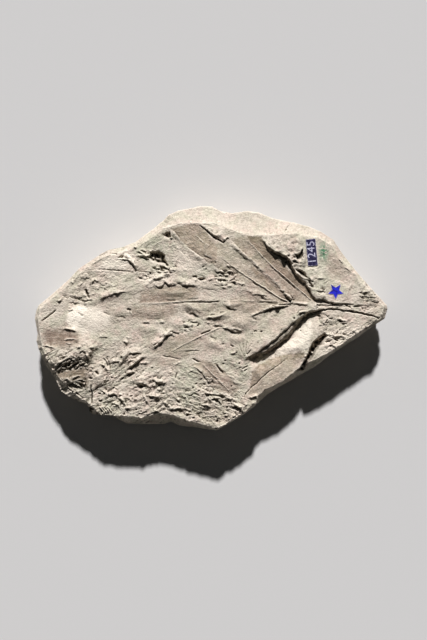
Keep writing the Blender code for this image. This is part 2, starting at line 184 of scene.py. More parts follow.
def chips(x, y, z, sizes, layer, tilt=1.0):
    """Height, about -1 to 1, of broken facets whose cells have the given sizes."""
    px, py, pz = x / sizes[0], y / sizes[1], z / sizes[2]
    ix, iy, iz = (np.floor(p).astype(np.int64) for p in (px, py, pz))
    nearest = np.full(px.shape, 1e9)
    height = np.zeros(px.shape)
    for step in np.ndindex(3, 3, 3):
        i, j, k = ix + step[0] - 1, iy + step[1] - 1, iz + step[2] - 1
        dx = px - i - scatter(i, j, k, layer)
        dy = py - j - scatter(i, j, k, layer + 1)
        dz = pz - k - scatter(i, j, k, layer + 2)
        away = dx * dx + dy * dy + dz * dz
        lean_x = scatter(i, j, k, layer + 3) - 0.5
        lean_y = scatter(i, j, k, layer + 4) - 0.5
        lean_z = scatter(i, j, k, layer + 5) - 0.5
        lift = 2.0 * scatter(i, j, k, layer + 6) - 1.0
        facet = lift + 2.0 * tilt * (lean_x * dx + lean_y * dy + lean_z * dz)
        closer = away < nearest
        nearest = np.where(closer, away, nearest)
        height = np.where(closer, facet, height)
    return height


warp_x = net_x + 0.45 * wave(net_x, net_y, 3.2, 2, 31.0) + 0.22 * wave(net_x, net_y, 1.1, 1, 33.0)
warp_y = net_y + 0.45 * wave(net_x, net_y, 3.2, 2, 37.0) + 0.22 * wave(net_x, net_y, 1.1, 1, 39.0)
breakup = np.clip(0.95 + 0.75 * wave(net_x, net_y, 2.8, 2, 41.0), 0.35, 1.5)
print(f"the lines of the relief wander by up to {np.abs(warp_x - net_x).max():.2f} mm")

# %% [markdown]
# Every vein, ledge and crack is a fold along a line that was read from a gridded enlargement.
# A fold has a height at the line and fades to nothing on each side, over a width of its own. Lines
# run west to east, so the left side, where a ledge stays high, is the far one. The light comes from
# there, so a ledge throws a shadow about 1.3 times its height, and its crest is moved to the far
# side of the line by half of that. That brings the dark line to where it was read.

# %% Tools for the relief
SHADOW_SHIFT = 0.6  # of a ledge's height
LEDGE_LIFT = 1.25
VEIN_SHIFT = 0.35
VEIN_LIFT = 1.25
CRACK_DEPTH = 1.5

ground = np.full(net_x.shape, FACE_LEVEL)


def beside(x, y, line):
    """Distance from each point to a line, positive on its left, and the length run along it."""
    best = np.full(x.shape, 1e9)
    side = np.zeros(x.shape)
    run = np.zeros(x.shape)
    passed = 0.0
    for (ax, ay), (bx, by) in zip(line, line[1:]):
        length = math.hypot(bx - ax, by - ay)
        ux, uy = (bx - ax) / length, (by - ay) / length
        along = np.clip((x - ax) * ux + (y - ay) * uy, 0.0, length)
        away = np.hypot(x - ax - along * ux, y - ay - along * uy)
        left = (y - ay) * ux - (x - ax) * uy
        nearer = (away < best - 1e-6) | ((away < best + 1e-6) & (np.abs(left) > np.abs(side)))
        best = np.where(nearer, away, best)
        side = np.where(nearer, left, side)
        run = np.where(nearer, passed + along, run)
        passed += length
    return np.where(side >= 0.0, best, -best), run, passed


def inside(x, y, edge):
    """Distance from each point to a closed edge, positive inside it."""
    closed = edge + edge[:1]
    away = np.abs(beside(x, y, closed)[0])
    within = np.zeros(x.shape, bool)
    for (ax, ay), (bx, by) in zip(closed, closed[1:]):
        if ay != by:
            crossing = ax + (y - ay) * (bx - ax) / (by - ay)
            within ^= ((ay > y) != (by > y)) & (x < crossing)
    return np.where(within, away, -away)


def turned(x, y, degrees):
    """Coordinates along and across a grain that runs at an angle to X."""
    cos, sin = math.cos(math.radians(degrees)), math.sin(math.radians(degrees))
    return x * cos + y * sin, y * cos - x * sin


def close_to(points, margin):
    """Which points of the net lie near a line, so that only they are worked on."""
    xs, ys = zip(*points)
    across = (net_x > min(xs) - margin) & (net_x < max(xs) + margin)
    return np.flatnonzero(across & (net_y > min(ys) - margin) & (net_y < max(ys) + margin))


def fold(heights, left, right, line, broken=1.0, end=4.0, lean=0.0, shift=0.0, wander=1.0):
    """Lift the net along a line, by one height or by several spaced along it."""
    heights = np.atleast_1d(heights)
    at = close_to(line, max(left, right) + 2.5 + shift)
    wander_x = net_x[at] + wander * (warp_x[at] - net_x[at])
    wander_y = net_y[at] + wander * (warp_y[at] - net_y[at])
    away, run, length = beside(wander_x, wander_y, line)
    end = min(end, 0.35 * length)
    fade = ease(run / end) * ease((length - run) / end)
    height = fade * np.interp(run / length, np.linspace(0.0, 1.0, len(heights)), heights)
    away = away - shift - lean * height
    width = np.where(away >= 0.0, left, right)
    uneven = 1.0 + broken * (breakup[at] - 1.0)
    ground[at] += height * uneven * (1.0 - ease(np.abs(away) / width))


def ledge(heights, line, reach=3.0, wander=0.7):
    """High on the left and steep on the right."""
    length = sum(math.dist(a, b) for a, b in zip(line, line[1:]))
    high = LEDGE_LIFT * min(1.0, 0.65 + length / 20.0) * np.atleast_1d(heights)
    fold(high, reach, 0.3 + 0.27 * high.max(), line, lean=SHADOW_SHIFT, shift=-0.1, wander=wander)


def vein(heights, line, width=0.5):
    """A thin ridge, a little steeper on its right."""
    high = VEIN_LIFT * np.atleast_1d(heights)
    fold(high, 1.3 * width, 0.7 * width, line, broken=0.3, end=3.0, shift=VEIN_SHIFT, wander=0.3)


def crack(deep, line, width=0.5):
    """A narrow cut."""
    fold(-CRACK_DEPTH * np.atleast_1d(deep), width, width, line, broken=0.6, end=1.5, wander=0.6)


def valley(deep, left, right, line):
    """A soft crease between two slopes."""
    fold(-np.atleast_1d(deep), left, right, line, broken=0.2)


def hollow(deep, wall, edge):
    """A pit with a flat floor, whose walls are wall wide."""
    at = close_to(edge, 1.5)
    ground[at] -= deep * breakup[at] * ease(inside(warp_x[at], warp_y[at], edge) / wall + 0.15)


def flaky(deep, size, edge, layer, turn=-12.0):
    """Small flakes, broken off at different levels, inside an edge."""
    at = close_to(edge, 1.5)
    share = ease(0.5 + inside(warp_x[at], warp_y[at], edge) / 2.0)
    along, across = turned(warp_x[at], warp_y[at], turn)
    sizes = (2.2 * size, 0.9 * size, size)
    flakes = chips(along, across, np.zeros(along.shape), sizes, layer, tilt=1.2)
    ground[at] += deep * share * (0.7 * flakes - 0.25)


def mound(high, at, radii, turn=0.0):
    """An oval swell, or a dip where high is negative."""
    along, across = turned(warp_x - at[0], warp_y - at[1], turn)
    ground[:] += high * (1.0 - ease(np.hypot(along / radii[0], across / radii[1])))


def spots(deep, size, *centres):
    """Small pits."""
    for x, y in centres:
        mound(-deep, (x, y), (size, size * 0.7), 20.0)


# %% [markdown]
# First the broad form: gentle swells, the large steps between beds, the great groove that runs up
# to the stalk, the high ground on the right and the hollow with its shelf at the left end. These
# match the solid that the frame holds.

# %% The broad form
ground += 0.7 * wave(net_x, net_y, 46.0, 2, 3.0)
ground += 0.3 * wave(net_x, net_y * 1.3, 10.0, 2, 5.0)

fold([0.8, 0.9, 0.5, 0.15, 0.15, 0.3, 0.3, 0.2], 13.0, 3.0, [
    (-66.8, 7.4), (-60, 9.9), (-54, 11.5), (-49, 13), (-43.9, 14.8), (-34.2, 15.4), (-29.4, 17.4),
    (-23.8, 18.6), (-17.3, 18.6), (-6, 17.9), (0, 16.4), (8.2, 16.2), (19.5, 14.6)], broken=0.2)
fold([0.8, 2.2, 3.2, 3.6, 2.6, 2.1, 2.0, 2.2, 1.9, 1.0, 0.6, 0.4], 24.0, 1.3, [
    (25.9, 42.8), (27.5, 41.3), (28.6, 40.2), (30, 38.2), (31.5, 36.7), (33.3, 35.4), (35, 34.8),
    (36.5, 34.4), (38, 33.4), (40, 32), (41.5, 30.4), (42.6, 28.6), (43, 26.4), (44.2, 24.6), (45.6, 23),
    (47.1, 21.4), (48.6, 19.9), (50.1, 18.2), (51.4, 16.6), (52.6, 14.9), (53.6, 13.2), (54.2, 11.6),
    (55.2, 10.6), (58, 10.3), (60.3, 9.8), (62, 9.1), (64.6, 8.8), (71.8, 7.7), (78, 7.4),
    (87, 7.6)], broken=0.35)
fold([-1.6, -3.2, -3.8, -3.8, -3.6, -2.6, -1.4], 2.6, 8.5, [
    (18.5, -23.2), (21.7, -21.9), (24.6, -20.9), (27.4, -20), (32.8, -16.9), (37.3, -13.5), (41.8, -9.6),
    (45.2, -5.3), (48, -1.1), (51.7, 1.6), (57, 3), (60, 3.2)], broken=0.12)
fold([1.2, 1.7, 1.9, 1.9, 1.7, 1.2, 0.8], 9.0, 1.0, [
    (16.9, -23.5), (19.8, -20.3), (24.6, -17.8), (28.8, -14.9), (33.3, -11.5), (37.9, -7.3), (42.4, -3),
    (44.6, -1.1), (49.2, 1.3), (52, 3.4), (57.1, 4.2)], broken=0.2, shift=0.7)
fold(-1.4, 4.0, 12.0, [
    (22.5, -26.5), (25.1, -24.6), (28, -23.1), (31.1, -22.2), (34.5, -20.4), (37.3, -19.5), (42.4, -18.8),
    (48.6, -18.2)], broken=0.2)
fold([2.0, 3.0, 3.4, 2.8], 16.0, 7.2, [
    (-84.3, -26.8), (-82.4, -24.8), (-79.8, -22.6), (-77.8, -20.9), (-74.7, -19.8), (-69.6, -18.8),
    (-67.6, -19.6), (-63.9, -22.9)], broken=0.3)
fold(-0.5, 2.5, 4.5, [(-82, -27.5), (-78.5, -24.6), (-73.5, -23), (-69, -22.5), (-65, -25)])
for bed_line in (
    [(-82.6, -26.4), (-79, -23.6), (-74.6, -21.4), (-69, -19.4)],
    [(-79.6, -26), (-76, -24.2), (-72.4, -22), (-69.4, -21)],
    [(-76.6, -26.6), (-73, -25), (-69.6, -23), (-66.2, -21.4)],
    [(-70.4, -25.8), (-67.6, -24.4), (-65.2, -22.4)], [(-66.8, -18.6), (-65.2, -20.4), (-63.4, -23.2)],
):
    ledge([0.5, 0.9, 0.8, 0.5], bed_line, reach=1.6, wander=1.6)
flaky(1.0, 1.2, [
    (-84, -27), (-79, -22.6), (-74, -20.6), (-68.6, -19.6), (-63.6, -23.6), (-68, -26.4),
    (-76, -26.8)], 97, turn=32.0)
fold([0.8, 1.5, 1.6, 1.0], 6.0, 3.2, [
    (-80.6, -30.4), (-77.6, -32.2), (-73, -32.9), (-69.5, -32.2), (-66, -30.4)], broken=0.4)
flaky(1.2, 1.6, [(-77, -32.6), (-66, -31.6), (-65, -38), (-69, -38.4)], 95, turn=-30.0)
mound(2.4, (-58.5, -30), (5.5, 8.5))
mound(1.4, (-37, -31.5), (7, 4), 10.0)
mound(1.0, (-66, 0), (16, 10), -10.0)
mound(1.6, (-2, 33), (13, 9), -35.0)
hollow(3.0, 1.4, [(-66.4, -46.6), (-61.6, -47.6), (-58.2, -52.8), (-66.6, -52.8)])
print(f"broad form spans {np.ptp(ground):.1f} mm")

# %% [markdown]
# The leaf's own lines. Some veins stand up as thin ridges and some sink as grooves, depending on
# which side of the leaf the mud took. Each margin is a small ledge of matrix round the leaflet's
# sunken face. Veins are only a few tenths of a millimetre high: the low light does the rest.

# %% The middle leaflet and the stalk
fold(0.35, 3.5, 1.6, [(-15, 9.3), (-4.6, 9.5), (4, 9.4)], broken=0.3)
fold([0.5, 0.8, 0.8, 0.7, 0.6, 0.6, 0.5], 5.0, 0.6, [
    (52, 2.8), (56.2, 4), (59, 4.6), (63.3, 5.2), (67.8, 4.9), (70.4, 4.4), (74, 3.9), (79.7, 2.9),
    (85.1, 1.3), (88.5, 0.4)], broken=0.7, shift=0.4)
flaky(0.7, 1.4, [(54, 8.4), (62, 8.2), (76, 6.6), (86, 3.4), (76, 4.8), (62, 6), (54, 5.4)], 93)
for heights, reach, line in (
    (0.5, 1.5, [(-66.8, 7.4), (-64.8, 7.1)]),
    ([0.4, 0.8, 1, 0.9, 0.6], 4, [
        (-60, 9.7), (-58.3, 10), (-56.6, 10.6), (-54, 11.3), (-52.1, 12.1), (-50.6, 12.8), (-49, 12.6),
        (-47.5, 13.3), (-46.1, 13.9), (-43.5, 14.4)]),
    ([0.4, 0.4, 0.8, 0.9, 0.7, 0.8, 0.7, 0.4], 4, [
        (-34.2, 15.1), (-32.8, 15.6), (-31.1, 16.8), (-29.4, 17.3), (-28, 16.6), (-26.4, 16.2), (-25.4, 17),
        (-24.2, 18.6), (-22.2, 17.4), (-20.5, 17.3), (-18.3, 17.7), (-17.2, 18.7), (-15.5, 17.6),
        (-13.3, 17.3), (-11.5, 17), (-9.6, 17.3), (-8.2, 17.1), (-6, 17.5)]),
    (0.35, 3, [(-5.1, 16.3), (-2.3, 15.9), (0, 15.4), (5, 15.2)]),
    (0.8, 1.5, [(5.4, 16.6), (6.7, 15.9), (8.2, 15.4)]),
    (0.7, 1.5, [(8.2, 16.6), (11.3, 16.6)]),
    (0.3, 2, [(15.2, 15), (19.5, 14.1), (26, 12.4), (31, 11.2)]),
    ([0.6, 1, 1.1, 1.6, 1.6, 0.9, 0.8, 0.7, 0.5], 2.2, [
        (19.8, 0.6), (22.6, 1.6), (26, 2.8), (29.4, 4), (32.2, 4.8), (34.5, 5), (36.7, 5.5), (39, 6.2),
        (41.2, 7), (43.5, 7.6), (46.3, 7.4), (49.2, 7), (53.4, 6.4)]),
    (0.8, 1, [(21, 12.7), (22.6, 12.3), (24.4, 12.6)]),
    (0.5, 1, [(26, 12.2), (28, 11.8)]),
):
    ledge(heights, line, reach)
for deep, width, line in (
    ([0.2, 0.4, 0.6, 0.7, 0.7, 0.5], 0.45, [
        (-20.8, 7.9), (-15, 8.2), (-13, 8.5), (-4.6, 8.5), (0, 8.5), (4.8, 8.8)]),
    ([0.25, 0.4, 0.4], 0.45, [(23.5, 8.7), (27, 8.5), (31, 8.2), (33.5, 7.8)]),
    (0.35, 0.45, [(25.5, 10.6), (28, 9.9), (31, 9.7), (33, 9.5)]),
    ([0.6, 1, 1, 0.8], 0.6, [(34.5, 7.4), (38, 7.3), (41, 7.5), (43.5, 8)]),
    (0.3, 0.5, [(-23.8, 9.5), (-18, 9.7)]),
    (0.35, 0.5, [(-13, 10.4), (-11.1, 10.2), (-6, 10.2)]),
    ([0.5, 0.7, 0.5, 0.8, 1, 0.9, 0.8], 0.6, [
        (53, 3.2), (58, 4.2), (62, 4.9), (66, 4.7), (70.4, 4), (74, 3.6), (79.7, 2.6), (85.1, 1.1),
        (88.6, 0.3)]),
    (0.7, 0.6, [(68.5, 7.6), (71.8, 7.4), (75.4, 7.3)]),
    (0.5, 0.5, [(74.5, 6.4), (78.6, 6.1)]),
    (0.4, 0.5, [(76.9, 3.9), (79.7, 4.4)]),
    (0.6, 0.5, [(87, -0.4), (88.7, 0.3)]),
    (0.4, 0.6, [(55.5, 6.8), (60, 6.9), (65, 6.4)]),
    (0.6, 0.5, [(31.9, 7), (33.6, 6.1), (34.5, 5.3)]),
    (0.35, 0.8, [(21, 0.6), (24.5, -0.8)]),
    (0.35, 0.5, [(25.7, 11.2), (29.9, 9.8)]),
    (0.3, 0.5, [(27.1, 12.3), (29.9, 10.9)]),
):
    crack(deep, line, width)
for heights, width, line in (
    ([0.12, 0.16, 0.26, 0.26], 0.7, [
        (-56.6, 7), (-50, 7.1), (-38.5, 7.4), (-30.3, 7.5), (-20.1, 8.1), (-14, 8.5)]),
    ([0.2, 0.25, 0.25], 0.5, [(4.8, 9.2), (10.4, 8.7), (15, 9.2), (20, 8.9), (25, 8.6)]),
    (0.2, 0.5, [(27, 9.2), (33, 8.7), (38, 8.2)]),
):
    vein(heights, line, width)
print(f"the middle leaflet and the stalk are in: the span is {np.ptp(ground):.1f} mm")

# %% The upper leaflets
fold([0.5, 0.8, 0.8, 0.5], 0.8, 2.2, [
    (-22.4, 46.9), (-19.8, 44.8), (-18.1, 42.8), (-15.9, 39.9), (-14.4, 38.4)], shift=0.6)
fold([0.4, 0.6, 0.6, 0.5, 0.3], 0.7, 3.2, [
    (-15.4, 39.4), (-10.8, 36), (-8, 33.7), (-5.7, 32.3), (-3.4, 30.1), (-0.5, 27.8)], wander=0.4)
ledge([0.2, 0.4, 0.6, 1.0, 1.2, 1.1], [
    (-8.2, 51), (-5.7, 49), (-3.4, 47.5), (-1.5, 45.8), (-0.6, 44.9), (1.9, 42.9), (3.9, 41.6),
    (6.6, 40)], reach=5.0, wander=0.2)
ledge(1.0, [(6.5, 40), (7.6, 41.2), (8.6, 42.2), (10, 42.4)], reach=1.6, wander=0.3)
fold([0.3, 0.5, 0.6, 0.5, 0.5, 0.35, 0.4, 0.6, 0.8, 1.2, 1.4], 2.6, 0.8, [
    (9.9, 40.6), (11, 38.5), (13.5, 36.2), (15.8, 34.2), (18, 32.6), (20.9, 31), (22.9, 29.4), (25.1, 26.7),
    (27.7, 24.5), (31.1, 21.5), (33.6, 18.9), (36.2, 16.6), (38, 14.4), (40.1, 12),
    (42.9, 8.8)], broken=0.9, wander=1.3)
fold([0.3, 0.6, 0.7, 0.6, 0.3], 0.7, 1.8, [
    (10.4, 41.4), (13, 38), (16.4, 34.9), (19.4, 32.4), (23.6, 29.4)], broken=0.6, wander=0.4)
valley(0.25, 0.8, 2.5, [(23, 27.6), (27, 23.2), (33, 17.2), (38.5, 12.1)])
spots(0.9, 0.8, (43, 10.9), (43.6, 9.8), (42.2, 9.4))
hollow(2.8, 1.1, [(44, 26), (46.5, 25.8), (48.8, 24.4), (51, 21.2), (48.8, 21.6), (46.4, 23.4), (45, 24.4)])
hollow(3.4, 0.9, [
    (43.1, 33.6), (45, 33.8), (46.4, 34.4), (48.2, 36.8), (48.4, 33.2), (47.4, 31.2), (46, 30.4),
    (44.8, 31.2)])
flaky(1.4, 1.7, [(43, 33), (48, 32), (46.5, 29.6), (43.2, 29.6)], 61)
flaky(1.5, 1.5, [(49.5, 21.8), (53.6, 20.6), (54.4, 16.2), (52.2, 16.6)], 63)
flaky(0.9, 1.6, [(56, 16), (61, 16), (61, 13.2), (56, 12.8)], 65)
spots(1.2, 1.1, (40.6, 32.6), (39.4, 29.6), (42.6, 28.4), (53, 16.8), (58.6, 14.4))
for heights, reach, line in (
    (1.4, 1.2, [(37.5, 13.6), (39.6, 11.6), (41.4, 9.6), (43, 8.4)]),
    (0.5, 2.5, [(20.5, 29.9), (22.3, 28.4), (25, 26.2)]),
    (0.8, 1, [(55.1, 13), (57.3, 12.7)]),
    (0.7, 1, [(59.6, 18.4), (61, 19.8)]),
    (0.4, 1.5, [(50.4, 26.4), (52.5, 25.8), (55, 25.6)]),
    (0.35, 1.5, [(54, 21), (57, 20.6), (60, 21.2)]),
):
    ledge(heights, line, reach)
for deep, width, line in (
    ([0.3, 0.7, 0.3], 0.5, [(21.5, 19.4), (23.4, 18.1), (25.4, 16.9)]),
    ([0.2, 0.5, 0.8, 0.8, 0.8], 0.5, [
        (-7, 49.6), (-3.4, 47), (-0.6, 44.5), (1.9, 42.5), (3.9, 41.2), (6.5, 39.8), (7.5, 40.8)]),
    (0.4, 0.8, [(-4.6, 33.1), (-1.2, 31.7), (1.1, 30.8)]),
    (0.3, 1.2, [(1.7, 49.8), (4.5, 48.9), (7.3, 47.5)]),
    ([0.1, 0.3, 0.4, 0.4, 0.2], 0.4, [(30.5, 28), (35.4, 23.6), (39.3, 20.2), (43.6, 16.3), (46.5, 13.9)]),
    (1, 0.8, [(50.4, 20.6), (51.6, 19.2), (52.6, 17.4), (53.8, 15.6)]),
):
    crack(deep, line, width)
for heights, width, line in (
    ([0.15, 0.3, 0.3, 0.15], 0.45, [(-9.6, 44.3), (-6.8, 42.2), (-4.2, 39.6), (-2.6, 38.2)]),
    (0.3, 0.45, [(-3.8, 39.8), (-0.6, 37.4)]),
    ([0.2, 0.3, 0.4, 0.4, 0.5, 0.6, 0.65, 0.65, 0.6], 0.5, [
        (4.2, 32.6), (6.6, 30.8), (8.4, 29.2), (10.7, 27.4), (14.9, 24.2), (18, 22.2), (22.3, 19.4),
        (24.6, 17.9), (28, 15.8), (31.1, 13.7), (33.3, 12.1), (36.2, 10.4), (39.3, 9), (42.1, 8.2)]),
    ([0.15, 0.3, 0.35, 0.35, 0.45, 0.55, 0.5, 0.5, 0.45], 0.5, [
        (17.5, 41.7), (19.5, 39.7), (22, 37.7), (23.7, 35.7), (26, 33.2), (28.8, 30.2), (31.1, 28.1),
        (33, 26), (35.6, 24.2), (37.9, 22.2), (39.5, 20.8), (43.8, 16.9), (47.2, 14), (49.7, 11.8), (52, 9.6),
        (53.9, 8.2)]),
    (0.6, 0.5, [(45, 23.2), (47, 21.6), (48.8, 20.2)]),
    (0.7, 0.7, [(37.2, 33.6), (39.6, 32)]),
):
    vein(heights, line, width)
print(f"the upper leaflets are in: the span is {np.ptp(ground):.1f} mm")

# %% The lower leaflets
spots(0.8, 0.7, (-32.3, -15.1))
flaky(0.9, 1.3, [(-22, -7.2), (-16, -6.6), (-12, -5.2), (-13, -7.6), (-20, -9.4)], 67)
valley(0.5, 0.7, 2.2, [(-1.2, -8.6), (1.1, -10.1), (3.4, -11.8)])
flaky(1.1, 1.8, [(-3.4, -30.6), (0.6, -31.4), (2, -34), (-1, -35.4), (-3, -33)], 69)
spots(0.9, 0.8, (6.7, -24), (7.4, -22), (13.5, -17.9), (14.9, -23.4), (10.8, -35.6))
for far_end in ((13.4, -11), (16.4, -9.4), (19.4, -8.4), (22.4, -10.6)):
    crack([0.3, 0.2, 0.1], [(17.4, -20.6), ((17.4 + far_end[0]) / 2, -15.2), far_end], width=0.5)
for heights, reach, line in (
    (0.9, 2, [(18.5, -41.4), (21.1, -41.8), (23.3, -41.2), (24.5, -42.8)]),
    (0.8, 1.5, [(17.4, -45.6), (19.4, -45.5)]),
    (0.8, 1.5, [(21.4, -45.3), (23.6, -43.9)]),
    ([0.5, 1.1, 1.3, 1.4, 1.2, 0.6], 5, [
        (-31.9, -17.4), (-30.3, -16.2), (-28.6, -15.1), (-26.9, -14.1), (-25.2, -12.6), (-24.1, -11.2),
        (-23.2, -9.7), (-21.5, -9), (-19.6, -9), (-17.3, -8.8)]),
    ([0.4, 0.8, 0.8, 0.5], 2.6, [
        (-9.7, -25.3), (-7.4, -26.4), (-5.1, -28.8), (-3.2, -31), (-1.7, -32.6), (0, -34.9)]),
    (0.8, 1.5, [(9.6, -18.8), (11.6, -18.6), (13.9, -17.8)]),
):
    ledge(heights, line, reach)
for deep, width, line in (
    ([0.35, 0.5, 0.55, 0.5, 0.35, 0.25], 0.45, [
        (16.9, -42), (18.5, -39.2), (20.5, -36.9), (23.1, -34.6), (25.4, -32.5), (27.7, -30.5), (29.9, -28.5),
        (32.2, -26.8), (35, -24.8), (38.5, -22), (41, -20.2)]),
    (0.5, 0.5, [(-30.6, -14.4), (-28, -12.8)]),
    ([0.8, 1, 0.8, 0.3], 0.6, [(-5.8, -8.5), (-3.6, -7.6), (-1.8, -6.9), (0.6, -6)]),
    (0.35, 0.5, [(-26.4, -19.4), (-24, -19.9), (-21, -20.4), (-18.7, -21), (-14.5, -21.7)]),
    (0.3, 0.5, [(-14.2, -17.8), (-10.8, -17), (-5.4, -17)]),
    (0.5, 0.5, [(5.6, -13.2), (7.2, -13.4)]),
    (0.6, 0.6, [(9.5, -13.6), (11, -14.2), (12.4, -14.9)]),
    ([0.6, 1.2, 1.1, 0.4], 0.65, [(-10.4, -20.9), (-9, -21.4), (-7.6, -22.1), (-5.4, -23.1)]),
    ([0.6, 1.1, 1.1, 0.5], 0.65, [(2.5, -24), (3.6, -25.4), (4.9, -27.1), (6.8, -29.2)]),
    (0.5, 0.5, [(14.4, -26.4), (16.6, -25.4)]),
    (0.6, 0.5, [(15.6, -27), (18, -25.6), (20, -24.4)]),
    (0.5, 0.5, [(17, -28), (19.4, -26.4)]),
    (0.6, 0.5, [(17.8, -18), (19.3, -18.5), (20.1, -17.6), (21.2, -16)]),
):
    crack(deep, line, width)
for heights, width, line in (
    ([0.25, 0.3, 0.35, 0.4, 0.4, 0.3], 0.5, [
        (-22.6, -18.8), (-18.1, -16.2), (-14.7, -14.3), (-11.9, -12.9), (-8.8, -11.4), (-5.7, -9.7),
        (-3.4, -8.7), (0, -7.1), (3, -5.8), (7.6, -4.3)]),
    (0.15, 0.5, [(-24, -19.4), (-18, -17.6), (-12.5, -16.6), (-5.4, -16.8)]),
    ([0.25, 0.4, 0.4, 0.3], 0.45, [(-5.3, -23.6), (0, -28.9), (4, -32.9), (8.5, -37.4), (10.7, -39.9)]),
    (0.3, 0.4, [(1.5, -30), (6, -34), (9.6, -37.2)]),
):
    vein(heights, line, width)
print(f"the leaf's lines bring the span to {np.ptp(ground):.1f} mm")

# %% [markdown]
# Creases of the leaf's face, then the broken matrix round it. A short, uneven ledge every few
# millimetres gives the stone its crumbly look, more than any texture could.

# %% Creases of the middle leaflet
for high, at, radii, turn in (
    (0.9, (-9.5, 5.4), (7.5, 3.2), -24.0), (0.5, (-1.5, 5.6), (5, 2.6), 0.0), (0.8, (11, 7.4), (7, 2.4), 4.0),
    (0.9, (5, 1.6), (8, 3), 10.0), (1.1, (14.5, -2.6), (9, 4.6), -14.0), (0.6, (21.5, 0), (5, 4), 40.0),
    (0.7, (1.5, -13.5), (8, 3.6), -30.0), (0.5, (14, -10.5), (7, 3), -10.0), (0.5, (-30, 3), (9, 4), 0.0),
    (0.6, (-33, -5.5), (8, 3.6), -8.0), (0.5, (-47, 3.5), (9, 5), 10.0), (0.5, (-20, 13.5), (12, 2.6), 2.0),
    (0.6, (-18, -3), (7, 4), -20.0), (0.5, (30, -1), (8, 3.4), 40.0), (0.4, (30, 10.5), (7, 1.8), -25.0),
):
    mound(1.3 * high, at, radii, turn)
valley(0.9, 4.0, 3.0, [(-15.5, 4.9), (-12, 3.6), (-10.2, 2.5), (-8, 1.6), (-5.7, 1), (-4, 0.4)])
valley(0.5, 2.5, 2.5, [(-0.5, -3.8), (3.4, -4.2), (8.5, -3.6)])
valley(0.35, 1.5, 2.5, [(4.8, 8.4), (7.6, 7.2), (9.6, 5.6), (12.4, 4.7), (15, 5.1)])
valley(0.6, 3.0, 4.0, [(7, -6.2), (11, -7.4), (18, -8.2)])
valley(0.3, 2.0, 2.0, [(15, 3.4), (19, 2.8), (22, 1.6)])
valley(0.35, 3.0, 3.0, [(-3, 4.6), (1.5, 5), (6, 4.6)])
spots(1.3, 1.0, (-43.3, 4.9), (-42.4, 4.5))
flaky(0.9, 1.5, [(-14.8, -1.4), (-8, -1.2), (-5.6, -3.4), (-9.8, -5.6), (-14.6, -5.4)], 71)
spots(0.9, 0.8, (-10.6, -4.5), (-13.4, -4.8), (-9.4, -2.2))
for heights, reach, line in (
    ([0.3, 0.6, 0.6, 0.3], 1.5, [(-13, 4), (-11, 2.8), (-9, 2.4), (-6.8, 1.2), (-4.4, 0.5)]),
    ([0.3, 0.7, 0.7, 0.5, 0.4], 1.6, [
        (-4.2, -1), (-2.6, -0.3), (-0.8, 0.1), (1.4, 0), (3, 0.6), (4.6, 1.4), (6.2, 2.2)]),
    (0.8, 1, [(-2.4, -2.2), (-1.2, -2.4), (-0.2, -2.2)]),
    ([0.4, 0.7, 0.6, 0.3], 1.8, [(0.5, -3.7), (3.4, -3.9), (5.6, -3.8), (7.9, -3.4)]),
    ([0.3, 0.4, 0.7, 0.6, 0.3], 1.6, [
        (5.4, 8.2), (7.6, 7.1), (9.3, 5.9), (10.4, 4.9), (12.4, 4.6), (14, 4.9), (15.4, 5.6)]),
    ([0.4, 0.8, 0.9, 0.6, 0.3], 2.2, [
        (4.4, -5.6), (6.7, -5), (8.4, -5.5), (10.4, -6.6), (12.4, -7.4), (14.9, -7.4), (17.6, -7.3)]),
    ([0.4, 0.6, 0.5], 1.4, [(10, -5.7), (12.4, -5.8), (14.9, -6.5), (17.4, -7.2)]),
    (0.4, 1.2, [(-43, 4.6), (-41.9, 2.4), (-41.3, 0.7)]),
    ([0.5, 1, 1, 0.4], 2, [(-36.5, -2), (-34.7, -2.2), (-33.2, -2.6), (-31.2, -2.4)]),
    (0.5, 1, [(-29.6, -2.6), (-28, -2.4), (-27.2, -2.2)]),
    (0.7, 1.5, [(-27.2, -2.2), (-25.6, -2.1), (-24.1, -2.1)]),
):
    ledge(heights, line, reach)
for deep, width, line in (
    (0.4, 0.5, [(-0.8, 1.8), (0.6, 2.2), (2.6, 1.8)]),
    (0.4, 0.5, [(4, 2.6), (6, 3.4), (7.4, 3.6)]),
    (0.3, 0.7, [(-70.2, 3.6), (-68.2, 1.9), (-66.2, 1.6)]),
    (0.25, 0.8, [(-57.4, 3.4), (-54.9, 2.7), (-52.1, 1.9)]),
    (0.25, 0.8, [(-50.4, 1), (-47, 0.7), (-44.1, -0.1)]),
):
    crack(deep, line, width)
vein(0.35, [(1.4, -0.6), (4, 0.4), (6.4, 1.8), (8.4, 2.9)], width=0.5)
print(f"the middle leaflet is creased: the span is {np.ptp(ground):.1f} mm")

# %% The far side's banks and pits
for slab_line in (
    [(3.9, 24.5), (5.3, 24.2), (7, 23.2)], [(7.9, 23.8), (9.9, 24.2), (12.3, 23.6)],
    [(3.4, 22.3), (4.8, 22.3), (6.6, 21.6)], [(6.8, 22), (8.4, 22), (10, 22.3)],
    [(11.6, 22.2), (13.7, 21.9)], [(9.7, 19.4), (11.5, 19.1), (13.3, 19.1)], [(7.7, 27.4), (10.1, 27)],
    [(6, 20.6), (7.8, 20)], [(2, 19.4), (3.8, 18.9)],
):
    ledge(1.1, slab_line, reach=1.1)
flaky(0.8, 1.8, [(1.5, 26.5), (14, 27), (14.5, 18), (2, 17.8)], 73)
spots(0.6, 0.8, (-4.2, 27), (-2.6, 26), (0.4, 29.6), (2.4, 29.4))
hollow(1.8, 1.6, [(-49.6, 32.4), (-46.6, 33.6), (-43.6, 32.8), (-43, 30.4), (-46, 30.8), (-48.7, 31.4)])
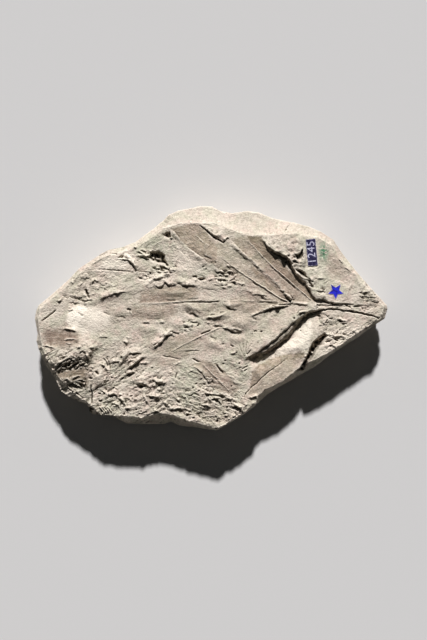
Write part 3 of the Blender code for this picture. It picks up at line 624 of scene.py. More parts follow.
for fan_line in (
    [(-39.4, 35.2), (-37.6, 34.9), (-36.4, 33.9), (-34.4, 33.2)],
    [(-37.6, 36.4), (-35.4, 35.4), (-33.4, 33.9)], [(-33.6, 36), (-32.2, 35), (-30.6, 34.4)],
    [(-40.4, 32.9), (-36.8, 32.3), (-32.8, 31.1), (-30.3, 30.2)], [(-40.8, 37), (-38.6, 36.8)],
):
    ledge(0.8, fan_line, reach=1.4)
hollow(3.9, 1.3, [
    (-33.6, 32.6), (-31.4, 35.4), (-27, 35.6), (-24.4, 33.8), (-23.8, 28.8), (-27.4, 29), (-31.2, 30.2)])
flaky(1.5, 1.7, [(-30.4, 26.8), (-24.6, 27.2), (-18, 29), (-18.6, 25.6), (-22, 23.4), (-29.6, 24.4)], 75)
flaky(0.5, 1.6, [(-40, 25), (-30, 25.5), (-28, 21), (-38, 20)], 77)
fold([0.5, 1.1, 0.9], 2.6, 1.4, [(-36, 15.8), (-30, 21), (-20, 24)])
hollow(1.8, 1.4, [(-26.2, 43.6), (-24, 45.6), (-21.6, 45.8), (-20.2, 43), (-21.5, 41.6), (-23.5, 42.2)])
hollow(0.8, 1.0, [(-53.4, 34.2), (-51.4, 34.9), (-49.2, 34.6), (-49.6, 33.2), (-52, 33.2)])
for heights, reach, line in (
    (0.6, 1, [(-8.6, 19.6), (-7, 20)]),
    (0.6, 1.4, [(13.6, 18.6), (16, 17.6), (18.2, 18.4)]),
    ([0.8, 1.6, 1.4, 1.1, 0.4], 3, [
        (-49.4, 32), (-46.6, 30.6), (-43.8, 30), (-42.7, 29.3), (-41.3, 28), (-39.6, 26.1), (-38.8, 25.3),
        (-37.6, 24)]),
    ([0.4, 1.4, 1.6, 1.2], 1.6, [(-38.6, 32.9), (-35, 32.3), (-31.4, 31.2), (-28.6, 30.6)]),
    (1, 1.2, [(-28.6, 24.6), (-27, 24), (-25.6, 24.2)]),
    (1.2, 1.2, [(-25.2, 24.6), (-23.6, 23.9), (-21.8, 24.2)]),
    (1, 1, [(-29.6, 26), (-28.2, 25.8), (-26, 25.8)]),
    (1, 1.2, [(-22.4, 41.8), (-20.8, 42), (-19.6, 42.6)]),
    (0.4, 1.2, [(-22.4, 37.6), (-20, 38.4), (-18, 39)]),
    (0.4, 1.2, [(-18.6, 36.8), (-16, 36.4)]),
):
    ledge(heights, line, reach)
for deep, width, line in (
    ([0.6, 1.2, 1], 0.8, [(-10.2, 21.9), (-8.4, 22), (-6.8, 21.6)]),
    ([0.8, 1.5, 1.5, 0.8], 0.9, [(-7.2, 20.6), (-5.7, 20.5), (-4.4, 20.7), (-2.6, 21.1)]),
    ([0.2, 0.4, 0.4, 0.2], 0.5, [
        (-60, 25.8), (-54.6, 25.6), (-51.2, 25.3), (-47.8, 25), (-44.7, 24.8), (-39.9, 24.2)]),
    ([0.8, 1.4, 1.4, 0.8], 0.9, [(-24.8, 31.4), (-24.2, 29.6), (-23.4, 28.4), (-22.2, 27.4)]),
    (1, 0.7, [(-22.2, 45.2), (-21.4, 44)]),
):
    crack(deep, line, width)
vein(0.5, [(-2, 19.2), (0, 20.3), (2, 21.2)], width=0.8)
print(f"the far side is in: the span is {np.ptp(ground):.1f} mm")

# %% The left end
flaky(0.5, 1.6, [(-78, 12), (-66, 17), (-62, 9), (-72, 6.6)], 79)
flaky(0.4, 1.5, [(-66, 22), (-52, 22), (-50, 15), (-62, 14)], 81)
spots(0.8, 0.9, (-78, -28.2))
fold([0.8, 1.2, 1.2, 0.6], 1.6, 1.0, [
    (-78.4, -31.4), (-76.9, -31.9), (-73.8, -31.6), (-71.6, -30.4), (-69.4, -29.4)])
spots(0.9, 1.4, (-68.2, -36.8), (-71, -36.6))
fold(1.2, 2.0, 2.0, [(-71.1, -39.6), (-68, -42.2), (-65.6, -44.4)])
hollow(2.2, 1.3, [(-61.2, -27.6), (-59.6, -27.2), (-58.4, -28.8), (-59.2, -30), (-60.8, -29.2)])
flaky(0.9, 1.2, [(-65.6, -26.6), (-62, -26.6), (-62.4, -30), (-65, -29.4)], 83)
for fan_line in (
    [(-57.4, -20.2), (-54.8, -23), (-53.6, -26)], [(-55.6, -19.6), (-53.6, -22.6), (-52.8, -26.4)],
    [(-54.6, -20.6), (-53.8, -19.6)],
):
    crack(0.5, fan_line)
for heights, reach, line in (
    (0.9, 1, [(-80.9, 8.8), (-79.6, 9), (-78, 9.2)]),
    (0.6, 1, [(-79.4, 10), (-77.8, 9.9)]),
    ([0.6, 1.2, 1.2, 0.8], 2.5, [(-67.6, 19.4), (-66.5, 20.3), (-64.9, 21.2), (-63.5, 21.4)]),
    (0.5, 1.2, [(-74.3, 19.8), (-73, 18.6), (-71.9, 17.6)]),
    (0.5, 1.5, [(-69.4, 16.6), (-68.2, 18), (-67, 19.2)]),
    ([0.5, 0.9, 0.9, 0.7], 1.6, [
        (-63.2, 17), (-62.2, 18.6), (-60.8, 19.8), (-59.9, 19), (-58.6, 20.4), (-57.7, 20)]),
    ([0.2, 0.5, 0.5], 1.4, [(-63, 11.2), (-62, 12), (-60.4, 13)]),
    (0.7, 1, [(-56, 17.4), (-55.1, 18.4), (-54.2, 17.4)]),
    (0.5, 1.5, [(-72.6, 12.4), (-71.4, 11.6), (-70.2, 10.4)]),
    (0.5, 1, [(-75, 5.9), (-73.4, 5.7)]),
    (0.5, 1, [(-75.2, 4), (-73, 4.6), (-71.6, 5.2)]),
    ([0.5, 1, 1, 0.8, 0.6], 1.5, [(-79.2, -6), (-77.4, -5.9), (-74.9, -6.2), (-72, -6.4), (-69.5, -6.6)]),
    ([0.6, 1, 1, 0.7], 1.8, [(-78, -10.4), (-76.4, -11.3), (-74, -11.5), (-71.6, -11.3), (-69.3, -10.8)]),
    (0.5, 1.2, [(-76.5, -12.9), (-74, -13.5), (-72.6, -13.2)]),
    ([0.5, 0.7, 0.8, 0.6], 1.6, [(-88.7, -14.6), (-85.4, -14.7), (-84.2, -15.3), (-80.9, -15.2)]),
    (0.6, 1.2, [(-70.4, -15.3), (-67.4, -15.2)]),
    (0.8, 1.2, [(-64.4, -15.2), (-62.2, -15.7), (-60.6, -15.4)]),
    (0.6, 1.8, [(-59.7, -10), (-57.4, -9.9), (-54.9, -9.8), (-53.6, -10.6)]),
    (0.5, 1, [(-52.4, -13), (-50.6, -13.2)]),
    (0.8, 1.2, [(-74, -32.6), (-72, -32), (-69, -30.4), (-67.6, -29.2)]),
    ([0.4, 0.8, 0.9, 0.7], 1.8, [
        (-59.6, -23.4), (-57.8, -23.9), (-56.4, -25), (-55.2, -26.6), (-54.2, -28.4), (-53.6, -30.2)]),
    (0.6, 1, [(-56.2, -33.4), (-55, -31.4), (-54.2, -30.8)]),
):
    ledge(heights, line, reach)
for deep, width, line in (
    ([0.4, 0.6, 0.8, 0.8], 0.55, [(-89.6, -1.8), (-86.8, 0.1), (-85.1, 1.4), (-82.9, 3.1), (-81, 4.6)]),
    ([0.6, 0.9, 0.9, 0.6], 0.9, [(-66.1, 15.9), (-65.6, 14.2), (-64.9, 12.8), (-64.2, 11.2), (-63.4, 9.8)]),
    ([0.6, 0.9, 0.9, 0.4], 0.6, [
        (-69.2, -19), (-68.2, -17.8), (-67.2, -17.4), (-65.9, -18.4), (-64.6, -18.9)]),
    (0.7, 0.5, [(-86.7, -23.4), (-85.4, -21.8), (-83.9, -20.4)]),
    (0.6, 0.7, [(-72.6, -27.4), (-70.6, -26.2), (-68.4, -25.2)]),
    (0.8, 0.7, [(-76, -36), (-73.8, -37.6), (-72, -39.2)]),
    (0.8, 0.9, [(-71.4, -38.4), (-69, -40.6), (-66.4, -42.6)]),
    (1.3, 0.75, [(-64, -30.6), (-63.3, -31.4), (-61.7, -31.3)]),
    ([0.7, 0.7, 1.4, 0.8, 1, 0.5], 0.6, [
        (-62.9, -34), (-63, -36.5), (-62.6, -38.6), (-62.4, -41.4), (-62.6, -45.4)]),
):
    crack(deep, line, width)
print(f"after the left end the span is {np.ptp(ground):.1f} mm")

# %% The lower middle
fold(0.6, 0.8, 0.8, [(-45.6, -23.6), (-42.6, -22), (-39.4, -21.2), (-37.4, -20.4)])
hollow(1.6, 1.3, [(-38.8, -35.2), (-36.8, -34.4), (-35.4, -35.4), (-35.8, -37.4), (-37.6, -37.2)])
spots(1.2, 0.8, (-30.8, -25.7), (-27.3, -34.9), (-20.1, -33.9), (-51.8, -31), (-46.6, -31.4),
      (-55.1, -37.2), (-63.4, -38.6), (-51.2, -36.6), (-54.8, -31.4))
valley(0.35, 1.2, 1.2, [(-39.4, -7), (-36.5, -9.2), (-34.6, -11.6)])
for heights, reach, line in (
    ([0.6, 1.1, 1.2, 0.9], 2.5, [
        (-52.4, -25), (-51.8, -23.8), (-50.6, -23.1), (-48.6, -23.1), (-47.8, -24.4), (-46.6, -24.8)]),
    ([0.9, 1.1, 1, 0.9, 0.7], 3.5, [
        (-46.6, -23.8), (-45, -21.6), (-43.9, -19.9), (-42.6, -19), (-40.2, -18.6), (-37.9, -18.2),
        (-34.9, -18.2)]),
    ([1.2, 2, 1.9, 1.5, 0.8], 2.5, [
        (-45.2, -26.2), (-43.2, -26.4), (-41.2, -25.9), (-39.4, -24.6), (-38, -23.2), (-36.5, -21.6),
        (-35.1, -20.1), (-33, -20)]),
    (0.8, 1.4, [(-38, -23.6), (-35.8, -23.9), (-34, -23.8), (-32.4, -23.4)]),
    ([0.5, 1, 0.8, 0.6], 2.2, [(-45.4, -30.2), (-43.4, -29.2), (-41.2, -28.9), (-38.6, -28)]),
    (0.5, 1.5, [(-49, -32.6), (-47, -31.4), (-45.4, -30)]),
    ([0.8, 1.3, 1.4, 1], 3, [
        (-32.7, -32), (-31.1, -31.8), (-30.2, -32.6), (-29, -33.9), (-27.2, -34.4), (-24.9, -34.6),
        (-22.9, -33.6), (-21.7, -32.5)]),
    (0.7, 2, [(-40.4, -35.2), (-38.8, -34.4), (-36, -34.4), (-33.6, -35.2), (-31.6, -36.6)]),
    (0.7, 1, [(-30.8, -35.8), (-28.6, -35.2)]),
    (0.5, 1, [(-28.6, -27.8), (-27.2, -28.2)]),
    (0.5, 1, [(-22.6, -28.4), (-20.2, -28.6)]),
    ([0.5, 0.9, 0.9], 1.5, [(-46.9, -11.5), (-45.2, -12.6), (-43.4, -13.8)]),
    (0.4, 1.2, [(-44.8, -9.2), (-43.6, -10.2), (-42.8, -11.2)]),
    (0.6, 1.2, [(-18.8, -25), (-17.2, -23.6), (-15.4, -23)]),
    (0.5, 1.4, [(-13, -28.8), (-11.2, -28.2), (-9.6, -26.8)]),
    (0.5, 1.2, [(-9.8, -26), (-7.2, -25.2)]),
):
    ledge(heights, line, reach)
crack(0.5, [(-17.7, -27.6), (-18.2, -29.6), (-18.9, -31.6)], width=0.5)
print(f"the lower middle is in: the span is {np.ptp(ground):.1f} mm")

# %% The near edge
for shift in (0.0, 1.4, 2.8, 4.2):
    ledge(0.7, [(-59.4 + shift, -45.6), (-57.4 + shift, -48.2), (-55.4 + shift, -50.4)], reach=0.8)
spots(1.2, 0.9, (-45.8, -50.4), (-39.3, -47.9), (-36.6, -48.6), (-9.2, -52), (-12.6, -51), (-5.1, -32),
      (-7.7, -34.4), (-3.6, -34.6), (-9.7, -36.3), (-6.3, -37.9), (-9.9, -40.4), (-42, -41))
for fan_line in (
    [(-44.4, -41.2), (-42.6, -42.4), (-40.8, -44)],
    [(-42.6, -40.8), (-40.6, -42.2), (-39.4, -42.6), (-37.8, -42.6)],
    [(-36.8, -39.4), (-35.2, -41.4), (-33.8, -43.6), (-32.4, -45)], [(-33.4, -44.4), (-31.8, -45.8)],
):
    ledge(0.6, fan_line, reach=1.2)
flaky(0.5, 1.8, [(-14, -34), (8, -40), (14, -48), (4, -55), (-16, -50), (-20, -40)], 85)
for heights, reach, line in (
    ([0.7, 1.3, 1.5, 1], 2.4, [
        (-56.4, -41.5), (-54.4, -41), (-52.4, -41), (-50.6, -40.2), (-49.4, -40.6), (-48, -42.4)]),
    ([0.8, 1.3, 1.2, 0.9], 1.8, [(-49.4, -40.8), (-48.2, -42.4), (-46.6, -44), (-45.6, -45.6)]),
    (1, 1.4, [(-57.6, -37.4), (-56.4, -39), (-55, -39.9), (-53.2, -39.6)]),
    (0.8, 1.4, [(-52, -37.4), (-50.4, -38.4), (-49.8, -39.4)]),
    (0.9, 1.2, [(-48.9, -40), (-46.3, -40.9)]),
    ([0.5, 1, 1.2, 0.8], 1.6, [(-53.4, -43.8), (-51, -45.2), (-49, -46.4), (-47, -47.6)]),
    (0.8, 1.2, [(-52.6, -45.8), (-50.4, -46.6), (-48.6, -47.6)]),
    ([0.8, 1.2, 1.2], 1.6, [(-46.6, -47.4), (-45, -47.8), (-43.2, -47.4), (-42.2, -48)]),
    (0.6, 1.2, [(-47.4, -43.4), (-45.6, -45), (-44, -46.6)]),
    ([0.7, 1.2, 1.1, 0.9, 0.5], 2.6, [
        (-34.8, -39.2), (-33.8, -40.5), (-32.4, -41.3), (-30.1, -41.2), (-28.6, -41.6), (-27, -42.8),
        (-25, -43.8)]),
    ([0.7, 1, 0.7], 1.4, [(-28.4, -36.3), (-28, -37.6), (-26.6, -38.1), (-25, -37.8)]),
    (0.8, 1, [(-26, -38.9), (-23.9, -39.2)]),
    (0.9, 1.4, [(-25.9, -44.6), (-24.2, -45), (-23.2, -46.2)]),
    (1.1, 1.4, [(-23.4, -46.4), (-22, -46.6), (-20.6, -46.8)]),
    ([0.6, 1, 0.7], 1.6, [(-18.4, -41.8), (-17.4, -42.9), (-15.6, -43.2)]),
    (0.6, 1.2, [(-14.6, -43.4), (-12.8, -43.8), (-12, -43.4)]),
    (0.6, 1, [(-12, -43.4), (-10.8, -44), (-10, -42.8)]),
    ([0.8, 1.4, 1.5, 1.4, 0.8], 2.2, [
        (-23, -49.4), (-20.6, -48.2), (-18.2, -48.4), (-16, -47.8), (-14.4, -47.4), (-14.2, -48.4)]),
    ([0.6, 1, 0.8], 1.6, [(-31.2, -49.2), (-29, -49), (-26.4, -49.2)]),
    (1, 1.2, [(-13.6, -51.4), (-12.4, -50.4), (-10.8, -50)]),
    (0.8, 1, [(-10.2, -51.8), (-8.6, -52.2)]),
    ([0.6, 1, 0.9, 0.9, 0.5], 2.2, [
        (-6.4, -39), (-4.6, -39.7), (-2, -39.9), (1.3, -39.9), (3.6, -40.3), (6.4, -40.2), (8.8, -40.6)]),
    ([0.5, 0.9, 1.4, 1.4, 0.8], 1.8, [
        (-1.2, -41.6), (0.8, -42.3), (3, -42.7), (3.8, -43.8), (5.2, -44.9), (6.8, -45.2)]),
    ([0.7, 1, 0.9], 1.8, [(-6, -44.9), (-4.1, -45.6), (-2.4, -46.1), (0.8, -47.2)]),
    (0.7, 1, [(-3.6, -37.8), (-2.4, -36.6), (-1.4, -36.4)]),
    (0.8, 1, [(-7.6, -37.8), (-5.4, -38.2)]),
    (1, 1.4, [(6.6, -41.6), (8.4, -42.9), (9.4, -43.2)]),
    (0.8, 1.2, [(8.6, -41.8), (9.8, -42.6), (11.4, -42.4)]),
    ([0.8, 1.3, 0.9], 1.2, [(8.2, -44.2), (9.6, -45), (11.2, -44.8)]),
    ([1, 1.9, 2, 1.4], 2.2, [(10.2, -46), (12, -46.4), (13.4, -47), (15.4, -48), (17.2, -49.6)]),
    (0.8, 1, [(1, -49.6), (2, -48.6), (2.2, -47.6)]),
    (0.8, 1.2, [(6.7, -51.2), (9.2, -51.6)]),
    (0.8, 1.2, [(10.9, -51.8), (13.6, -51)]),
    (0.7, 1, [(8.6, -53.2), (10, -53)]),
    (0.7, 1, [(11.2, -54.8), (14, -53.4)]),
):
    ledge(heights, line, reach)
for deep, width, line in (
    (1.1, 0.7, [(-59.4, -43.2), (-58, -43.5), (-56.5, -43.1)]),
    (1, 0.7, [(-59.7, -39.5), (-57.8, -39.4)]),
    (1.2, 0.7, [(3.4, -52.8), (3.2, -54.6)]),
    (1.2, 0.7, [(1, -58.3), (2.4, -57.7), (4, -58.2)]),
):
    crack(deep, line, width)
vein(0.5, [(4, -56.8), (7, -56.6), (9.4, -55.6)], width=0.9)
print(f"the near edge is in: the span is {np.ptp(ground):.1f} mm")

# %% The right end
hollow(5.4, 1.6, [
    (45, -28), (48.2, -23.4), (50.4, -19.4), (52.4, -14.4), (53.7, -12), (56.4, -9.6), (59.6, -7.6),
    (61.4, -8.8), (59.6, -12), (58.6, -14.2), (55.4, -16.8), (54.2, -19.6), (51.4, -23.8), (49.4, -27.4)])
fold([1.0, 1.6, 1.6, 1.0], 1.8, 2.2, [(52.4, -26.6), (54.8, -24.6), (57.6, -22.6), (61.6, -19.8)], broken=0.4)
spots(1.0, 0.8, (66.4, -12), (69.4, -11.2), (62.4, -9.4), (78.3, -6.9), (60.5, -1.6), (61.7, 1.4), (61, -1))
flaky(0.5, 1.5, [(56, 2), (64, 3), (64, -4), (57, -4)], 87)
flaky(0.5, 1.8, [(62, -6), (72, -8), (88, 0), (72, -13), (60, -18)], 89)
spots(0.5, 0.7, (17.6, -3.8), (21.4, -8.2), (37.2, -5.9), (24.6, -12.6))
fold(0.4, 0.8, 1.0, [(74.3, 19.4), (72.3, 16), (69.5, 10.3), (67.8, 7.5)])
flaky(0.8, 1.6, [(78, 14), (85.6, 14.6), (90, 8.4), (84, 7.6), (79, 9)], 91)
spots(0.7, 0.8, (87.9, 9.4), (84, 11), (82, 9))
for heights, reach, line in (
    (1.4, 1.2, [(53.4, -14.6), (55.6, -12.4), (58.6, -10)]),
    ([0.4, 0.9, 0.8, 0.4], 1, [(55.2, -12.5), (56.6, -11.2), (59, -9.8), (61.9, -8.7), (63.9, -8)]),
    ([0.5, 0.9, 0.9, 0.7], 1.2, [(63.6, -10.6), (65.6, -9.9), (67.6, -9.7), (69, -9.9), (70.2, -10.7)]),
    (0.7, 1, [(70.1, -12.8), (71.8, -13.4)]),
    ([0.7, 1.1, 1, 0.6], 1.4, [(65.2, -0.6), (67.4, -0.8), (69.6, -1.8), (72.6, -1.4)]),
    (0.8, 1, [(68, -2.2), (70.4, -2.8), (72.4, -2)]),
    (0.7, 1, [(48.8, -20.4), (50.2, -20)]),
    ([0.9, 1.2, 1], 1.4, [(44.9, 1.6), (47.5, 2.6), (51.1, 3.8)]),
    (0.5, 1.2, [(66.2, 31.4), (67.4, 30.4), (68.9, 28.4)]),
    (0.5, 1.2, [(69.4, 27), (71.8, 25.6), (73.2, 24.4)]),
    ([0.4, 0.8, 0.6], 1.4, [(78.6, 12.4), (80.6, 13.4), (83.6, 14)]),
):
    ledge(heights, line, reach)
for deep, width, line in (
    ([0.6, 1, 0.6], 0.55, [(56.4, -13.4), (57.8, -12.2), (59.6, -10.9)]),
    ([0.5, 0.9, 0.6], 0.55, [(59.6, -12.9), (61.6, -12.1), (63.9, -11.3)]),
    (0.6, 0.5, [(65.4, -8.4), (66.6, -6.8)]),
    (0.8, 0.55, [(22, -6.9), (23.4, -6.5), (24.6, -7)]),
    (0.8, 0.55, [(25.6, -6.9), (27.4, -6.9)]),
    (0.5, 0.5, [(46.6, -6.4), (48, -6.3)]),
    (0.7, 0.6, [(43, 0.6), (44, -0.4)]),
):
    crack(deep, line, width)
print(f"all lines in: the span is {np.ptp(ground):.1f} mm")

# %% [markdown]
# Where the stone is rough and where the leaf kept it smooth. Each leaflet's face is a polygon with a
# strength, the share of brown film that is left on it. The same shares steer the colour later.

# %% The film and the rough ground
FILM_DEPTH = 0.2  # how far the leaf's face lies under the matrix

FILM = {
    "middle leaflet, far half": (0.8, 1.6, [
        (-38, 8), (-37, 13), (-29, 16.3), (-20, 17), (-8, 17), (-6, 13), (-12, 9.5), (-24, 8.4)]),
    "middle leaflet, pale ends": (0.07, 3.0, [
        (-64, 7.2), (-49, 12.4), (-36, 14.6), (0, 15.2), (19.5, 13.5), (33, 10), (43.5, 8), (24.8, 8.4),
        (4, 8.7), (-38.5, 7.6)]),
    "middle leaflet, brown root": (0.55, 2.0, [
        (9, 10.2), (20, 14), (30, 12), (43, 8.6), (43.5, 7.6), (34, 5), (24, 2.2), (17, 3), (10, 6)]),
    "middle leaflet, near half": (0.52, 1.8, [
        (-43, 5.5), (-30, 7.4), (-20, 7.6), (-17, 4), (-23, -0.6), (-36, -1.2), (-41, 0.5)]),
    "middle leaflet, crumpled": (0.32, 3.0, [
        (-18, 8), (4, 8.5), (24, 3), (18, -6), (8, -3), (-4, 0), (-12, 3)]),
    "far leaflet": (0.85, 0.8, [
        (-21, 47.3), (-8.5, 49.8), (-1.5, 45.2), (0, 41), (4, 36.5), (2, 28.5), (-1, 29), (-10.8, 36.4),
        (-18.1, 43)]),
    "far leaflet, middle": (0.5, 3.0, [(0, 42), (6, 40), (10, 39), (8, 32), (2, 30), (-2, 36)]),
    "far leaflet, root": (0.42, 1.0, [
        (1, 31), (8, 37), (15.8, 33), (22.5, 28.8), (31, 20.8), (38, 13.2), (42.7, 8.2), (33, 11.2), (22, 16),
        (14, 21.5), (6, 25.5), (2, 27)]),
    # The full film on this strip is partly painted shade.
    "far leaflet, shaded strip": (1.0, 2.5, [
        (20, 29), (24.5, 26), (31, 19.6), (38, 12.6), (42, 8.6), (36, 11.4), (29, 16.4), (22, 23)]),
    "near upper leaflet": (0.66, 0.8, [
        (11, 41.8), (17.5, 43.2), (24, 41), (30, 31), (40, 20), (53, 8.6), (43, 8.8), (38.6, 13.6),
        (33.8, 19), (26, 26.4), (20.9, 30.9), (15, 35.4)]),
    "near upper leaflet, far half": (1.25, 0.8, [
        (19, 43.8), (26.6, 42.6), (29.9, 35.8), (35.6, 31), (41.8, 24.4), (48, 18.2), (54.2, 12.2),
        (54.8, 8.2), (52.6, 9.4), (43.6, 17.6), (36, 24.4), (27, 33), (21, 39.4)]),
    "lobe above the groove": (0.12, 1.6, [
        (20.3, 0.4), (34.5, 5), (43.5, 7), (53.4, 6.3), (46, 0), (38, -7), (29, -14.8), (18, -21.5),
        (12, -20), (9, -12), (11, -5)]),
    "small leaf": (0.52, 0.9, [
        (-31, -17.6), (-26.5, -14.6), (-23, -9.8), (-16, -8.6), (-8, -8), (-4, -10), (-9, -16.5), (-12, -20),
        (-22, -20.8)]),
    "small leaf, root": (0.1, 1.5, [
        (-8, -6), (2, -3.6), (9, -3.6), (9.5, -9), (4, -14), (-3, -17.5), (-11, -19), (-8, -12)]),
    "below the small leaf": (0.5, 3.0, [(-28, -20.6), (-18, -21.6), (-20, -25), (-29, -24.6)]),
    "strip leaflet": (0.66, 0.8, [
        (-10, -24.5), (-4, -21.5), (3, -24), (9, -30), (15, -37), (11, -40), (3, -38), (-2, -33),
        (-6, -28.5)]),
    "lower right leaflet": (0.95, 0.9, [
        (21, -33), (21.6, -28.4), (23, -25.6), (30.1, -21.8), (37.3, -19.3), (42, -18.2), (48.6, -18.2),
        (49.4, -20.6), (44, -21.4), (38.5, -22.2), (32.2, -27), (25.4, -32.7), (20.6, -37.8)]),
    "lower right leaflet, near side": (0.62, 2.0, [
        (17.6, -41.2), (25.4, -32), (32.2, -26.4), (38.5, -21.6), (48, -20.4), (46, -24.4), (42, -28.6),
        (36, -33.6), (28, -37.6), (23, -40)]),
    "left end": (1.0, 5.0, [(-87, -7), (-78, -6), (-70, -7), (-69, -12.6), (-76, -15), (-87, -13.5)]),
    "beyond the chalk": (0.22, 4.0, [(-57, 6), (-44, 7), (-42, 0), (-50, -3), (-58, -1)]),
    "shelf": (1.0, 3.0, [
        (-82, -26.5), (-76, -27.5), (-70, -26), (-65, -26.5), (-65, -36), (-70, -33.5), (-76, -31.8),
        (-80, -31)]),
    "near tip": (0.4, 5.0, [(-8, -47), (6, -46), (12, -52), (3, -57.5), (-8, -54)]),
    "beyond the cliff": (0.14, 5.0, [(30, 46), (46, 46), (46, 38), (36, 38)]),
    "under the label": (0.3, 3.0, [(60.5, 34), (66, 34), (70.5, 26), (72, 19), (63, 20)]),
    "far right facet": (0.35, 2.5, [(80, 8), (79, 14.5), (85, 13.5), (88.5, 9), (86, 7)]),
}

CALM = [  # smooth flakes amid the broken ground
    (0.6, 3.0, [(-19, -25), (-8, -24), (-5, -31), (-9, -37), (-14, -41), (-19.5, -38)]),
    (0.55, 2.5, [(-50, -34), (-44, -32.6), (-40.6, -34.6), (-42, -39.4), (-48.6, -39)]),
    (0.6, 2.5, [(-62, -29.6), (-58, -28.4), (-56.2, -31), (-57.6, -36.6), (-61.6, -36)]),
    (0.6, 3.0, [(-62, -16.8), (-51, -16.8), (-47, -21.6), (-54, -22.8), (-61.6, -21.6)]),
]


def soft_area(edge, softness):
    """1 inside an edge and 0 outside, through a soft and slightly ragged border."""
    share = np.zeros(net_x.shape)
    at = close_to(edge, softness + 1.0)
    share[at] = ease(0.5 + inside(warp_x[at], warp_y[at], edge) / softness)
    return share


def strongest(areas):
    """The greatest share at each point, of areas that each give a share, a softness and an edge."""
    return np.maximum.reduce([share * soft_area(edge, softness) for share, softness, edge in areas])


film = strongest(FILM.values())
south = ease((-18.0 - net_y) / 16.0) * ease((24.0 - net_x) / 12.0)
south_west = ease((-9.0 - net_y) / 10.0) * ease((-24.0 - net_x) / 16.0)
north_west = ease((net_y - 13.0) / 6.0) * ease((4.0 - net_x) / 12.0)
right_shelf = ease((net_x - 54.0) / 8.0) * ease((1.0 - net_y) / 6.0)
tip = ease((net_x - 76.0) / 8.0)
ragged = np.maximum.reduce([south, 0.75 * south_west, 0.22 * north_west, 0.6 * right_shelf, 0.6 * tip])
for calm, softness, edge in CALM:
    ragged = ragged * (1.0 - calm * soft_area(edge, softness))
patchy = 0.85 + 0.5 * wave(net_x, net_y, 12.0, 2, 31.0)
rough = np.clip(0.12 + ragged * patchy * (1.0 - 0.85 * film), 0.0, 1.0)
ground -= FILM_DEPTH * film
print(f"film covers {np.mean(film > 0.4):.0%} of the face")

# %% [markdown]
# Between the lines, beds break off in steps. `terraces` takes a soft noise that is stretched along the
# stone's grain and rounds its height to whole steps, so each contour becomes a thin ledge between
# two nearly flat treads. `splinters` lays thin chips over them. The grain turns from the left end to
# the near edge.

# %% Broken ground
STEPS = 2.2
RISER = 0.2  # share of a step that is its riser


def terraces(size, stretch, turn, layer):
    """Height, about -1 to 1, of stepped beds whose grain runs at turn degrees."""
    along, across = turned(warp_x, warp_y, turn)
    height = STEPS * wave(along / stretch, across, size, 2, layer)
    whole = np.floor(height)
    return (whole + ease((height - whole - 0.5) / RISER + 0.5)) / STEPS


def splinters(turn, length, width, layer, tilt=1.6):
    """Height, about -1 to 1, of flat chips that lie along a grain."""
    return chips(*turned(net_x, net_y, turn), np.zeros(net_x.shape), (length, width, 4.0), layer, tilt)


to_near_edge = ease((net_x + 30.0) / 14.0) * ease((46.0 - net_x) / 14.0)
for height, left_end, near_edge in (
    (0.75, (8.5, 4.2, 28.0, 51.0), (7.0, 3.2, -20.0, 57.0)),
    (0.3, (3.4, 3.0, 34.0, 61.0), (3.2, 2.6, -34.0, 67.0)),
):
    stepped = (1.0 - to_near_edge) * terraces(*left_end) + to_near_edge * terraces(*near_edge)
    ground += rough * height * stepped
for share, turn, layer in ((1.0 - to_near_edge, 29.0, 100), (to_near_edge, -27.0, 120)):
    ground += rough * share * 0.22 * splinters(turn, 9.0, 2.2, layer)
    ground += rough * share * 0.12 * splinters(turn + 8.0, 5.0, 1.3, layer + 10)
ground += rough * 0.07 * splinters(-8.0, 3.6, 2.2, 140)
ground += (0.02 + 0.09 * rough) * splinters(8.0, 1.4, 0.8, 300, tilt=1.2)
ground += rough * 0.3 * wave(net_x, net_y, 6.0, 2, 7.0)
ground += 0.08 * wave(net_x, net_y, 3.0, 2, 13.0)
print(f"rough ground covers {np.mean(rough > 0.4):.0%} of the face")

# %% [markdown]
# The face ends at a rim. Outside it the stone falls away to the outline: gently on the far side,
# where the slope catches the light, and steeply on the near side, where it lies in its own shade.

# %% The rim
FACE = [
    (-90.8, 0), (-89.6, 5), (-84.5, 9.8), (-78.5, 14.6), (-72.5, 20.3), (-66, 26), (-57, 32), (-45, 35.3),
    (-38, 38), (-30.5, 43), (-24.9, 47.5), (-17.3, 49.8), (-8.2, 50.3), (1.9, 50), (9, 47.2), (18.9, 43.9),
    (31, 43.9), (44, 44.8), (56, 42.5), (63, 38.5), (67, 32), (75, 23.5), (83, 14.5), (90.8, 6.2),
    (89.5, 0.3), (81, -5.2), (70, -12.4), (61, -18.6), (52, -22.9), (44.6, -27.4), (36.7, -33.6),
    (27.9, -37.5), (24.8, -41), (23.5, -44.5), (16, -50.3), (8, -55.5), (3, -58.3), (-3, -55.9),
    (-11.4, -53.9), (-19.9, -50.8), (-27.3, -49.7), (-36, -52.1), (-45.4, -51.4), (-57.8, -50.5),
    (-62.3, -46.5), (-66.6, -42.6), (-73.5, -37.3), (-79.2, -31.6), (-84, -25.6), (-88.8, -15), (-89.9, -8)]
RIM_FALL = [
    (-180, 2.6), (-165, 3), (-158, 3), (-150, 3.2), (-146.5, 4.5), (-143.5, 13), (-137, 13), (-100, 14),
    (-84, 12), (-70, 8), (-58, 10.5), (-30, 10), (-16, 6), (0, 3.5), (20, 3.4), (40, 4), (55, 7), (115, 7.5),
    (125, 4.5), (150, 2.4), (180, 2.6)]

